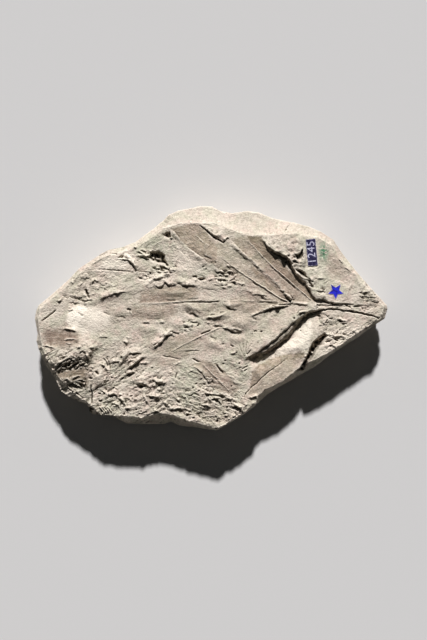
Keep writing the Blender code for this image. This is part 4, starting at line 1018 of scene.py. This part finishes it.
directions, falls = zip(*RIM_FALL)
fall = np.interp(np.degrees(np.arctan2(net_y, net_x)), directions, falls)
past_face = np.maximum(-inside(warp_x, warp_y, FACE), 0.0)
to_edge = np.maximum(inside(net_x, net_y, OUTLINE), 0.0)
slope_share = past_face / (past_face + to_edge + 1e-6)
ground -= fall * slope_share * (1.5 - 0.5 * slope_share)
print(f"the rim falls {fall.min():.0f} to {fall.max():.0f} mm")

# %% [markdown]
# The label and the star were stuck on where the stone is flat, so the ground under each of them is
# eased to one level.

# %% Flat seats
LABEL_AT = (52.7, 34.6)
LABEL_SIZE = (5.2, 14.1)
LABEL_LEAN = 5.5  # degrees
STAR_AT = (65.3, 14.3)
STAR_REACH = 4.5
STAR_WAIST = 2.1
SEAT_MARGIN = 0.4
SEAT_BORDER = 1.6  # over which the seat runs out into the stone


def seat(beyond):
    """Level the ground where beyond, the distance outside a shape, is under the margin."""
    level = float(np.mean(ground[beyond < SEAT_MARGIN]))
    share = 1.0 - ease((beyond - SEAT_MARGIN) / SEAT_BORDER)
    ground[:] += share * (level - ground)
    return level


label_across, label_along = turned(net_x - LABEL_AT[0], net_y - LABEL_AT[1], LABEL_LEAN)
label_level = seat(np.hypot(
    np.maximum(np.abs(label_across) - LABEL_SIZE[0] / 2, 0.0),
    np.maximum(np.abs(label_along) - LABEL_SIZE[1] / 2, 0.0),
))
star_level = seat(np.maximum(np.hypot(net_x - STAR_AT[0], net_y - STAR_AT[1]) - STAR_REACH, 0.0))
print(f"label at {label_level:.1f} mm, star at {star_level:.1f} mm")

# %% [markdown]
# Now the net gets its heights and becomes a body. Its edge is extruded down ring by ring. Each ring
# is pushed in or out by facets that are long and low, because mudstone breaks back bed by bed, and
# the last rings turn in under the slab to the flat it lies on.

# %% The walls and the underside
WALL_RINGS = 18
UNDER_RINGS = 5
FOOT_INSET = 7.0


def set_points(verts, x, y, z):
    """Put points at places given in millimetres."""
    for vert, px, py, pz in zip(verts, x, y, z):
        vert.co = (px * MM, py * MM, pz * MM)


set_points(slab_bm.verts, net_x, net_y, ground)
top_count = len(slab_bm.verts)
edge = [e for e in slab_bm.edges if e.is_boundary]


def next_ring(edge):
    """Extrude a ring of edges and return the new one with its points."""
    made = bmesh.ops.extrude_edge_only(slab_bm, edges=edge)["geom"]
    return (
        [g for g in made if isinstance(g, bmesh.types.BMEdge)],
        [g for g in made if isinstance(g, bmesh.types.BMVert)],
    )


for step in range(1, WALL_RINGS + 1):
    edge, ring = next_ring(edge)
    if step == 1:
        rim_x, rim_y, rim_z = np.array([vert.co for vert in ring]).T / MM
        rim_reach = np.hypot(rim_x, rim_y)
    down = step / WALL_RINGS
    height = rim_z * (1.0 - down)
    beds = height + 1.2 * wave(rim_x, rim_y, 30.0, 1, 21.0)
    inset = 1.5 * chips(rim_x, rim_y, beds, (17.0, 17.0, 4.2), 400, tilt=0.9)
    inset += 0.6 * chips(rim_x, rim_y, beds, (5.0, 5.0, 1.8), 500, tilt=1.2)
    inset += 0.2 * chips(rim_x, rim_y, beds, (1.8, 1.8, 1.0), 600, tilt=1.2)
    inset = np.maximum(inset * math.sin(math.pi * down) ** 0.6, -0.3)
    inset += FOOT_INSET * down ** 2.6
    shrink = 1.0 - inset / rim_reach
    set_points(ring, rim_x * shrink, rim_y * shrink, height)
foot_x, foot_y = rim_x * shrink, rim_y * shrink
for step in range(1, UNDER_RINGS + 1):
    edge, ring = next_ring(edge)
    shrink = 1.0 - 0.8 * (step / UNDER_RINGS)
    set_points(ring, foot_x * shrink, foot_y * shrink, np.zeros(foot_x.shape))
bmesh.ops.contextual_create(slab_bm, geom=edge)
bmesh.ops.recalc_face_normals(slab_bm, faces=slab_bm.faces)


def finish_piece(name, bm, material, smooth=True):
    """Turn a bmesh into an object of the scene whose place is in its mesh."""
    mesh = bpy.data.meshes.new(name)
    bm.to_mesh(mesh)
    bm.free()
    if smooth:
        mesh.shade_smooth()
    mesh.materials.append(material)
    piece = bpy.data.objects.new(name, mesh)
    scene.collection.objects.link(piece)
    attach(piece, "root")
    return piece


print(f"slab: {len(slab_bm.verts)} points, {sum(len(f.verts) - 2 for f in slab_bm.faces)} triangles")

# %% [markdown]
# The masks that steer the colour are kept on the mesh as attributes, one number a point. They come
# from the same lines as the relief, so film and ledge always meet. The hollows are found on the mesh
# itself: heights are averaged with their neighbours' a few times. A point that lies under the average
# is in a dip and gets painted shade, and a point above it gets a painted highlight.

# %% Masks
CHALK = [  # share, softness and edge of each area
    (0.22, 6.0, [(-8, 16.4), (4, 15.6), (14, 15), (10, 10.4), (-6, 9.6)]),
    (0.75, 4.0, [
        (-75.5, 0), (-74, 4.5), (-69.5, 6.4), (-63, 5.8), (-57, 4.5), (-52, 0.5), (-54, -4), (-60, -7.2),
        (-67, -8), (-73, -5.5)]),
    (1.3, 1.6, [
        (-76, -1.5), (-74.6, 3.2), (-72, 6), (-68, 6.6), (-64, 5.6), (-66, 3), (-68, 0), (-69, -4),
        (-71, -5.2), (-74.4, -4.2)]),
    (0.62, 1.5, [
        (22, -24.8), (26, -21.4), (30, -19), (37, -14.6), (42, -10.6), (46, -5.6), (49, -2), (53, -1),
        (53, -8), (51, -16), (44, -18.2), (37, -19.2), (30, -21.6)]),
    (0.4, 3.0, [(60, -6), (72, -4), (84, -4), (76, -11), (66, -16), (57, -21), (56, -18)]),
    (0.6, 1.2, [
        (-82.6, -30), (-79.6, -31.8), (-74, -37.6), (-67, -42.6), (-64, -45), (-67, -47), (-74, -43.6),
        (-81, -38.6), (-84, -32)]),
    (0.4, 3.0, [(-40, 19), (-33, 24.5), (-24, 25), (-19, 23), (-24, 20), (-32, 18)]),
    (0.6, 4.0, [(-62, 24), (-56, 31), (-44, 36), (-39, 33), (-46, 25)]),
    (0.22, 4.0, [(49, 42), (57, 41), (60, 22), (54, 18), (48, 26)]),
    (0.34, 5.0, [(-18, 38), (-6, 30), (2, 26), (-6, 23), (-18, 25)]),
    (0.12, 4.0, [(-26, 52), (-10, 52), (8, 49), (20, 46), (40, 46), (54, 46), (20, 60), (-10, 61)]),
]
GREEN = [
    [(-19, -23.5), (-8, -24.5), (-3.5, -33), (-6, -44), (-15, -46), (-20, -35)],
    [(5, -18), (12, -16), (20, -20), (21, -28), (15, -33), (8, -25)],
    [(-56, -42), (-47, -43), (-46, -49), (-54, -50)],
    [(-10, 22.5), (9, 22), (10, 27), (0, 30), (-9, 27)],
    [(-5, 4.2), (8, 3.8), (7, 0.2), (-4, 0)],
    [(-53, -25), (-45.5, -25.5), (-45.5, -30), (-52, -29.5)],
    [(-35.5, -10), (-31, -10.5), (-31.5, -13.5), (-35, -13)],
    [(48, 42), (60, 42), (61, 12), (53, 13), (46, 27), (46, 36)],
    [(-42, 37), (-24, 47), (-18, 39), (-22, 30), (-36, 31)],
    [(-80, -28.5), (-66, -27), (-63, -40), (-70, -40), (-77, -33)],
    [(-58, -38), (-52, -40), (-50, -48), (-58, -48)],
]
MAUVE = [
    [(-37, 7.5), (-36, 12.5), (-24, 13), (-21, 8.2)],
    [(-42, 0.5), (-40, 6.5), (-20, 6), (-19, 0.5)],
    [(-14, 31), (-10, 36), (-5, 32), (-8, 27)],
    [(8, 22.5), (13, 24.5), (24, 16), (28, 11), (18, 12), (9, 17)],
    [(-24, -21), (-22, -26), (-30, -26), (-31, -22)],
    [(0, -1.5), (6, 0), (8, -3), (2, -4)],
    [(60, -4), (76, -3), (74, -9), (60, -10)],
    [(61, 22), (62, 32.5), (67, 33), (70, 26), (68, 21.5)],
    [(-89, -5), (-70, -5.5), (-68, -13.5), (-88, -14.5)],
    [(-4, -24), (4, -25), (14, -36), (9, -40), (0, -34)],
    [(26.5, 24), (40, 9), (47, 14), (33, 30)],
]
# Painted shade: the groove, the hollows and pits, the feet of the cliffs and ledges, the dark patch at the
# left end, and a light darkening of the far slope that faces the light.
PAINTED_SHADE = [
    (0.75, 1.4, [
        (17.5, -24), (22, -19.6), (28, -15.9), (33, -12.2), (38, -7.8), (42.5, -3.4), (46, -1), (52, 2.4),
        (57, 3.6), (57, 2.6), (51.7, 1.2), (48.2, -1.6), (45.4, -5.8), (41.8, -10), (37.3, -13.8),
        (32.8, -17.2), (27.4, -20.3), (21.7, -22.4)]),
    (0.26, 3.0, [(-88, -6.4), (-76, -5.4), (-69, -8.6), (-70, -12.6), (-80, -13.4), (-88, -12)]),
    (0.62, 1.5, [
        (-84, -27.5), (-79, -23), (-73, -19.5), (-66.5, -16.8), (-62.5, -22.5), (-64.5, -25.5), (-70, -26),
        (-76, -27.5), (-80, -29)]),
    (0.3, 2.0, [
        (-83, -27.5), (-80, -24.2), (-77.5, -21.6), (-74.5, -20.4), (-70, -19.5), (-67, -18), (-64, -23.5),
        (-65, -25.8), (-68, -24.8), (-74, -26.4), (-80, -28.2)]),
    (0.4, 5.0, [(-81, -28), (-65, -25), (-62, -34), (-63, -46), (-70, -41), (-77, -35)]),
    (0.75, 1.6, [
        (45, -28.6), (48.2, -23.4), (50.6, -19.4), (52.6, -14.4), (54.2, -12.2), (58.4, -11.6), (58, -14),
        (55, -16.8), (53.8, -19.8), (51.2, -23.6)]),
    (0.7, 1.6, [
        (28, 39.8), (31, 37.2), (36, 34.6), (40.4, 31.2), (43.4, 27.6), (41.4, 27.4), (37, 29.6), (32.6, 34),
        (28.4, 38.2)]),
    (0.7, 1.2, [(44, 26), (46.5, 25.8), (48.8, 24.4), (51, 21.2), (54, 15), (51, 18), (46.4, 23.2)]),
    (0.6, 1.2, [(54, 11.2), (56, 10.6), (60.5, 9.8), (64.6, 8.9), (64.6, 8.2), (60, 8.8), (54.5, 9.6)]),
    (0.2, 4.0, [
        (-26, 50), (-10, 51), (8, 49), (20, 46), (40, 46), (58, 44), (66, 36), (80, 22), (70, 40), (50, 54),
        (20, 60), (-10, 62), (-24, 56)]),
    (0.85, 1.6, [(-32.4, 32.6), (-30.8, 34.8), (-25.6, 34.8), (-24, 29.4), (-29, 29.6)]),
    (1.0, 1.2, [(43, 33.6), (46.2, 34.4), (48.4, 36.8), (48.4, 33), (45.8, 30.4), (44, 31.2)]),
    (0.45, 2.5, [(-78.4, -32.8), (-73, -33.6), (-66.8, -33), (-66.6, -38), (-72, -36.8), (-77.6, -34.6)]),
    (0.35, 4.0, [(76, 9), (79, 14.5), (85, 14), (90, 9), (84, 7)]),
    (0.3, 4.0, [(-44, 6.4), (-40, 6.8), (-37, 3.4), (-42, 3)]),
]
SOFT_EDGE = 5.0
FALLING = [  # leaflets whose veins run down to the right
    [(-26, 52), (8, 52), (30, 46), (58, 8), (34, 8), (-14, 30)],
    [(-12, -24), (-2, -20), (18, -38), (10, -44), (-4, -38)],
]
RISING = [  # and those whose veins run up
    [(-34, -18), (-22, -8), (10, -2), (12, -10), (-10, -21), (-30, -26)],
    [(14, -42), (16, -30), (40, -17), (52, -17), (48, -26), (26, -42)],
]
STAMP_AT = (59, 35)  # a smudge of ink beside the label
STAMP_RADII = (3.8, 7.4)

stamp = 1.0 - ease(np.hypot(
    (warp_x - STAMP_AT[0]) / STAMP_RADII[0], (warp_y - STAMP_AT[1]) / STAMP_RADII[1]))
top_masks = {
    "film": film,
    "rough": rough,
    "chalk": strongest(CHALK),
    "painted_shade": strongest(PAINTED_SHADE),
    "stamp": stamp,
}
for mask_name, edges in (("green", GREEN), ("mauve", MAUVE), ("falling", FALLING), ("rising", RISING)):
    top_masks[mask_name] = strongest([(1.0, SOFT_EDGE, edge) for edge in edges])
MASK_ELSEWHERE = {"rough": 0.8}  # on the walls and the underside; the others are 0 there


def dips(mesh, rounds):
    """How far each point lies under its surroundings, in millimetres."""
    ends = np.zeros(2 * len(mesh.edges), np.int64)
    mesh.edges.foreach_get("vertices", ends)
    a, b = ends.reshape(-1, 2).T
    place = np.zeros(3 * len(mesh.vertices))
    mesh.vertices.foreach_get("co", place)
    normal = np.zeros(3 * len(mesh.vertices))
    mesh.vertices.foreach_get("normal", normal)
    place, normal = place.reshape(-1, 3) / MM, normal.reshape(-1, 3)
    count = np.bincount(a, minlength=len(place)) + np.bincount(b, minlength=len(place)) + 1.0
    average = place.copy()
    for _ in range(rounds):
        total = average.copy()
        for axis in range(3):
            total[:, axis] += np.bincount(a, average[b, axis], len(place))
            total[:, axis] += np.bincount(b, average[a, axis], len(place))
        average = total / count[:, None]
    return np.sum((average - place) * normal, axis=1)


def keep_mask(mesh, name, values):
    mesh.attributes.new(name, "FLOAT", "POINT").data.foreach_set("value", values.astype(np.float32))


print("masks on the face:", ", ".join(top_masks))

# %% [markdown]
# Shader maths is easier to read as Python. `Signal` wraps one output of a node, so that `1 - mask`
# or `film * 0.5` adds the Math nodes by itself, and `Finish.add` makes any other node from its type,
# its settings and its inputs.

# %% Shader tools
class Signal:
    """One output of a shader node, which Python's operators work on."""

    def __init__(self, finish, socket):
        self.finish = finish
        self.socket = socket

    def math(self, operation, *values):
        return self.finish.add("ShaderNodeMath", {"operation": operation}, values)

    def __add__(self, other):
        return self.math("ADD", self, other)

    def __sub__(self, other):
        return self.math("SUBTRACT", self, other)

    def __rsub__(self, other):
        return self.math("SUBTRACT", other, self)

    def __mul__(self, other):
        return self.math("MULTIPLY", self, other)

    __radd__ = __add__
    __rmul__ = __mul__

    def between(self, low, high):
        """0 below low, 1 above high and a smooth rise between them."""
        return self.finish.add(
            "ShaderNodeMapRange", {"interpolation_type": "SMOOTHSTEP"}, (self, low, high, 0.0, 1.0))


class Finish:
    """A material whose nodes are added one call at a time."""

    def __init__(self, name, roughness=0.9):
        self.material = bpy.data.materials.new(name)
        self.material.use_nodes = True
        self.tree = self.material.node_tree
        self.shader = self.tree.nodes["Principled BSDF"]
        self.shader.inputs["Roughness"].default_value = roughness
        place = self.add("ShaderNodeTexCoord", {}, {}, "Object")
        self.place = self.add("ShaderNodeVectorMath", {"operation": "SCALE"}, {0: place, 3: 1.0 / MM})

    def add(self, kind, settings, inputs, output=0):
        """Add a node, set it up, link or fill its inputs and return one output."""
        node = self.tree.nodes.new(kind)
        for name, value in settings.items():
            setattr(node, name, value)
        pairs = inputs.items() if isinstance(inputs, dict) else enumerate(inputs)
        for key, value in pairs:
            if isinstance(value, Signal):
                self.tree.links.new(value.socket, node.inputs[key])
            else:
                node.inputs[key].default_value = value
        return Signal(self, node.outputs[output])

    def mask(self, name):
        return self.add("ShaderNodeAttribute", {"attribute_name": name}, {}, "Fac")

    def noise(self, size, detail=2.0, stretch=(1.0, 1.0, 1.0), turn=0.0):
        """Noise from 0 to 1 with spots of the given size in millimetres."""
        place = self.add("ShaderNodeMapping", {"vector_type": "TEXTURE"}, {
            "Vector": self.place,
            "Rotation": (0.0, 0.0, math.radians(turn)),
            "Scale": tuple(size * part for part in stretch),
        })
        return self.add("ShaderNodeTexNoise", {}, {"Vector": place, "Scale": 1.0, "Detail": detail}, 0)

    def blend(self, first, second, share):
        """Mix two colours, each an RGB tuple or a signal."""
        first, second = ((*c, 1.0) if isinstance(c, tuple) else c for c in (first, second))
        return self.add("ShaderNodeMix", {"data_type": "RGBA"}, {0: share, 6: first, 7: second}, 2)

    def layers(self, colour, *coats):
        """Lay coats over a colour, each a colour and the share of the ground that it covers."""
        for coat, share in coats:
            colour = self.blend(colour, coat, share)
        return colour

    def paint(self, colour):
        self.tree.links.new(colour.socket, self.shader.inputs["Base Color"])

    def emboss(self, height, depth):
        """Bump from a height of 0 to 1 that stands for depth millimetres."""
        bump = self.add("ShaderNodeBump", {}, {"Height": height, "Distance": depth * MM, "Strength": 1.0})
        self.tree.links.new(bump.socket, self.shader.inputs["Normal"])


# %% [markdown]
# The mudstone's finish. Fresh stone is cream to beige with a fine grey grain. The leaf's film is a
# brown stain, worn thin in patches, with fine threads that follow each leaflet. Dips and the listed
# shade areas are darkened as painted shade, and raised points are paler as a painted highlight.

# %% The mudstone
STONE = (0.635, 0.55, 0.445)
STONE_PALE = (0.80, 0.72, 0.6)
STONE_GREY = (0.40, 0.365, 0.305)
STONE_OLIVE = (0.57, 0.55, 0.41)
STONE_ROSE = (0.70, 0.525, 0.445)
STONE_GREEN = (0.49, 0.49, 0.36)
FILM_TAN = (0.43, 0.335, 0.245)
FILM_BROWN = (0.225, 0.172, 0.12)
FILM_OLIVE = (0.33, 0.28, 0.185)
FILM_MAUVE = (0.37, 0.26, 0.205)
CHALK_WHITE = (0.96, 0.865, 0.725)
GRAIN_DARK = (0.27, 0.235, 0.17)
# Dark brown for the leaf's finest threads, and the colour of the painted shade in dips, hollows and under
# cliffs.
THREAD_DARK_AND_SHADE = (0.075, 0.058, 0.036)
STAMP_GREEN = (0.1, 0.25, 0.14)

GRAIN_DEPTH = 0.52
THREAD = (9.0, 1.0, 1.0)  # stretch of the lines that the leaf's smallest veins left
DIP_ROUNDS = {"dip": 6, "broad dip": 45}
WALL_DIPS = 0.3  # the walls' dips get less painted shade and highlight than the face's
NET_KEPT = 0.4  # merged where the surface is plain, which leaves the lines their fine net

stone = Finish("mudstone", roughness=0.92)
film_mask, rough_mask, chalk_mask, mauve_mask, dip, falling_mask, rising_mask = (
    stone.mask(name) for name in ("film", "rough", "chalk", "mauve", "dip", "falling", "rising"))

grain = stone.noise(0.9, 3)
fleck = stone.noise(0.45, 1)
speck = stone.noise(1.4, 3.0, (1.4, 1.0, 1.0), turn=20.0)
worn = stone.noise(2.2, 4).between(0.28, 0.55)
threads = falling_mask * stone.noise(0.8, 2.0, THREAD, turn=-37.0)
threads += rising_mask * stone.noise(0.8, 2.0, THREAD, turn=33.0)
threads += (1.0 - falling_mask) * (1.0 - rising_mask) * stone.noise(0.8, 2.0, THREAD, turn=2.0)

film_tone = stone.layers(
    FILM_TAN,
    (FILM_BROWN, stone.noise(5, 4).between(0.4, 0.66)),
    (FILM_OLIVE, stone.noise(7.0, 4.0, turn=70.0).between(0.48, 0.64) * 0.7),
    (FILM_MAUVE, mauve_mask * 0.7),
    (THREAD_DARK_AND_SHADE, threads.between(0.5, 0.7) * 0.3),
    (STONE, (1.0 - threads).between(0.52, 0.7) * 0.3),
)
stone.paint(stone.layers(
    STONE,
    (STONE_PALE, stone.noise(16, 3).between(0.42, 0.68) * 0.55),
    (STONE_OLIVE, stone.noise(7.5, 4).between(0.44, 0.62) * 0.6),
    (STONE_ROSE, stone.noise(6.5, 4.0, turn=40.0).between(0.48, 0.64) * 0.47),
    (STONE_GREY, stone.noise(4, 3).between(0.5, 0.7) * rough_mask * 0.5),
    (STONE_GREEN, stone.mask("green") * stone.noise(3, 3).between(0.3, 0.62) * 0.7),
    (FILM_MAUVE, mauve_mask * worn * 0.36),
    (film_tone, film_mask * (0.62 + worn * 0.38)),
    (GRAIN_DARK, grain.between(0.46, 0.7) * 0.5),
    (GRAIN_DARK, speck.between(0.54, 0.68) * (0.42 - film_mask * 0.25)),
    (STONE_PALE, (1.0 - speck).between(0.54, 0.66) * (0.36 - film_mask * 0.24)),
    (STONE_PALE, fleck.between(0.5, 0.66) * (0.6 - film_mask * 0.4)),
    (CHALK_WHITE, chalk_mask * stone.noise(5, 4).between(0.15, 0.42) * 0.94),
    (STAMP_GREEN, stone.mask("stamp") * stone.noise(1.3, 2).between(0.42, 0.52)),
    # Painted shade over the listed shade areas, mottled by noise.
    (THREAD_DARK_AND_SHADE, stone.mask("painted_shade") * (0.35 + stone.noise(1.6, 3).between(0.35, 0.6) * 0.65)),
    # Painted shade in the dips and the broad dips.
    (THREAD_DARK_AND_SHADE, dip.between(0.03, 0.2) * 0.85),
    (THREAD_DARK_AND_SHADE, stone.mask("broad dip").between(0.15, 0.9) * 0.52),
    # Painted highlight: points that stand above their surroundings are paler.
    (STONE_PALE, (0.0 - dip).between(0.02, 0.2) * 0.6),
))
bumps = grain * (0.6 + rough_mask * 0.8) + fleck * 0.35 + threads * film_mask * 0.5
stone.emboss(bumps - speck * (0.7 - chalk_mask * 0.55), GRAIN_DEPTH)

slab_piece = finish_piece("fine_slab", slab_bm, stone.material)
for mask_name, values in top_masks.items():
    everywhere = np.full(len(slab_piece.data.vertices), MASK_ELSEWHERE.get(mask_name, 0.0))
    everywhere[:top_count] = values
    keep_mask(slab_piece.data, mask_name, everywhere)
for mask_name, rounds in DIP_ROUNDS.items():
    dip_values = dips(slab_piece.data, rounds)
    dip_values[top_count:] *= WALL_DIPS
    keep_mask(slab_piece.data, mask_name, dip_values)
thin = slab_piece.modifiers.new("thin", "DECIMATE")
thin.ratio = NET_KEPT
thinned = slab_piece.evaluated_get(bpy.context.evaluated_depsgraph_get())
print(f"thinned to {sum(len(face.vertices) - 2 for face in thinned.data.polygons)} triangles")
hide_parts("stone_slab")
print(f"broad dips reach {dip_values.max():.2f} mm, and half of the face is within "
      f"{np.median(np.abs(dip_values)):.3f} mm of its surroundings")

# %% [markdown]
# The label is a small dark plate with a pale margin and plain white figures, read from its lower
# end. The star is a thin sticker. Each of them sits down on its flat seat.

# %% The number label
LABEL_THICKNESS = 0.35
LABEL_MARGIN = 0.22
LABEL_CORNER = 0.5
LABEL_EDGE = 0.08  # radius of its upper edge
LABEL_DARK = (0.022, 0.018, 0.06)
LABEL_WORN = (0.075, 0.065, 0.15)
LABEL_SCUFF = (0.3, 0.28, 0.34)
MARGIN_PALE = (0.5, 0.48, 0.5)
MARGIN_DARK = (0.16, 0.14, 0.22)
FIGURES = "1245"
FIGURE_SIZE = 5.8
FIGURE_HALF_DEPTH = 0.03
FIGURE_LIFT = 0.035  # of their middle over the label
FIGURE_PALE = (0.64, 0.62, 0.72)
FIGURE_WORN = (0.3, 0.28, 0.4)
SEAT_GAP = 0.03


def place_on_label(bm, level):
    """Lean a shape drawn round the origin and bring it to the label's place."""
    lean = Matrix.Rotation(math.radians(LABEL_LEAN), 3, "Z")
    bmesh.ops.rotate(bm, verts=bm.verts, cent=(0, 0, 0), matrix=lean)
    bmesh.ops.translate(bm, verts=bm.verts, vec=(LABEL_AT[0] * MM, LABEL_AT[1] * MM, level * MM))


def round_off(bm, edges, radius, segments):
    """Round some edges of a shape."""
    bmesh.ops.bevel(
        bm, geom=edges, offset=radius * MM, segments=segments, profile=0.5, affect="EDGES", material=-1)


def top_face(bm):
    return max(bm.faces, key=lambda face: face.calc_center_median().z)


def frame_top(bm, margin):
    """Keep a margin round the top face and give what is inside it the second material."""
    top = top_face(bm)
    bmesh.ops.inset_individual(bm, faces=[top], thickness=margin * MM, use_even_offset=True)
    top.material_index = 1


label_field = Finish("label field", roughness=0.45)
label_field.paint(label_field.layers(
    LABEL_DARK,
    (LABEL_WORN, label_field.noise(1.2, 3).between(0.4, 0.7)),
    (LABEL_SCUFF, label_field.noise(0.7, 2).between(0.64, 0.78) * 0.5),
))
label_field.emboss(label_field.noise(0.5), 0.03)

label_paper = Finish("label margin", roughness=0.7)
label_paper.paint(label_paper.blend(MARGIN_PALE, MARGIN_DARK, label_paper.noise(0.8).between(0.35, 0.6)))

figure_paint = Finish("figure paint", roughness=0.6)
figure_paint.paint(
    figure_paint.blend(FIGURE_PALE, FIGURE_WORN, figure_paint.noise(0.6).between(0.46, 0.7)))

label_bm = bmesh.new()
bmesh.ops.create_cube(label_bm, size=1.0)
label_sides = (LABEL_SIZE[0] * MM, LABEL_SIZE[1] * MM, LABEL_THICKNESS * MM)
bmesh.ops.scale(label_bm, verts=label_bm.verts, vec=label_sides)
upright = [e for e in label_bm.edges if abs(e.verts[0].co.z - e.verts[1].co.z) > 0.1 * MM]
round_off(label_bm, upright, LABEL_CORNER, 4)
round_off(label_bm, list(top_face(label_bm).edges), LABEL_EDGE, 2)
frame_top(label_bm, LABEL_MARGIN)
place_on_label(label_bm, label_level + SEAT_GAP + LABEL_THICKNESS / 2)
label_piece = finish_piece("label_plate", label_bm, label_paper.material, smooth=False)
label_piece.data.materials.append(label_field.material)
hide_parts("number_label")

text = bpy.data.curves.new("figures", "FONT")
text.body = FIGURES
text.size = FIGURE_SIZE * MM
text.align_x = "CENTER"
text.align_y = "CENTER"
text.extrude = FIGURE_HALF_DEPTH * MM
text.space_character = 1.06
text_object = bpy.data.objects.new("figures", text)
scene.collection.objects.link(text_object)
text_shape = text_object.evaluated_get(bpy.context.evaluated_depsgraph_get())
figure_mesh = bpy.data.meshes.new_from_object(text_shape)
bpy.data.objects.remove(text_object)
figure_bm = bmesh.new()
figure_bm.from_mesh(figure_mesh)
bmesh.ops.remove_doubles(figure_bm, verts=figure_bm.verts, dist=1e-6)
quarter_turn = Matrix.Rotation(math.radians(90), 3, "Z")
bmesh.ops.rotate(figure_bm, verts=figure_bm.verts, cent=(0, 0, 0), matrix=quarter_turn)
place_on_label(figure_bm, label_level + SEAT_GAP + LABEL_THICKNESS + FIGURE_LIFT)
figure_piece = finish_piece("label_figures", figure_bm, figure_paint.material, smooth=False)
print(f"label {LABEL_SIZE[0]} by {LABEL_SIZE[1]} mm with the figures {FIGURES}")

# %% The star sticker
STAR_THICKNESS = 0.15
STAR_BORDER = 0.22
STAR_BRIGHT = (0.035, 0.042, 0.62)
STAR_DARK = (0.018, 0.016, 0.25)
BORDER_PALE = (0.5, 0.47, 0.52)
BORDER_DARK = (0.25, 0.22, 0.4)

star_blue = Finish("star blue", roughness=0.42)
star_blue.paint(star_blue.blend(STAR_BRIGHT, STAR_DARK, star_blue.noise(2.0).between(0.45, 0.65)))
star_edge = Finish("star edge", roughness=0.6)
star_edge.paint(star_edge.blend(BORDER_PALE, BORDER_DARK, star_edge.noise(1.0).between(0.4, 0.6)))

star_bm = bmesh.new()
corners = []
for step in range(10):
    reach = STAR_REACH if step % 2 == 0 else STAR_WAIST
    turn = math.radians(-90 + 36 * step)
    x, y = STAR_AT[0] + reach * math.cos(turn), STAR_AT[1] + reach * math.sin(turn)
    corners.append(star_bm.verts.new((x * MM, y * MM, (star_level + SEAT_GAP) * MM)))
star_face = star_bm.faces.new(corners)
made = bmesh.ops.extrude_face_region(star_bm, geom=[star_face])["geom"]
top = [g for g in made if isinstance(g, bmesh.types.BMVert)]
bmesh.ops.translate(star_bm, verts=top, vec=(0, 0, STAR_THICKNESS * MM))
frame_top(star_bm, STAR_BORDER)
bmesh.ops.recalc_face_normals(star_bm, faces=star_bm.faces)
star_piece = finish_piece("star_sheet", star_bm, star_edge.material, smooth=False)
star_piece.data.materials.append(star_blue.material)
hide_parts("star_sticker")
print(f"star {2 * STAR_REACH} mm across")

# %% [markdown]
# A plain pale floor catches the slab's shadow. It isn't part of the object.

# %% The floor
FLOOR_SIZE = 3000.0
FLOOR_DROP = 0.05  # under the slab
FLOOR_COLOUR = (0.65, 0.635, 0.605, 1.0)

floor_bm = bmesh.new()
bmesh.ops.create_grid(floor_bm, x_segments=1, y_segments=1, size=FLOOR_SIZE / 2 * MM)
bmesh.ops.translate(floor_bm, verts=floor_bm.verts, vec=(0, 0, -FLOOR_DROP * MM))
floor_mesh = bpy.data.meshes.new("floor")
floor_bm.to_mesh(floor_mesh)
floor_bm.free()
floor_finish = Finish("floor", roughness=0.9)
floor_finish.shader.inputs["Base Color"].default_value = FLOOR_COLOUR
floor_mesh.materials.append(floor_finish.material)
floor = bpy.data.objects.new("floor", floor_mesh)
scene.collection.objects.link(floor)
print(f"floor {FLOOR_SIZE:.0f} mm wide")

# %% Hand over
bpy.context.view_layer.update()
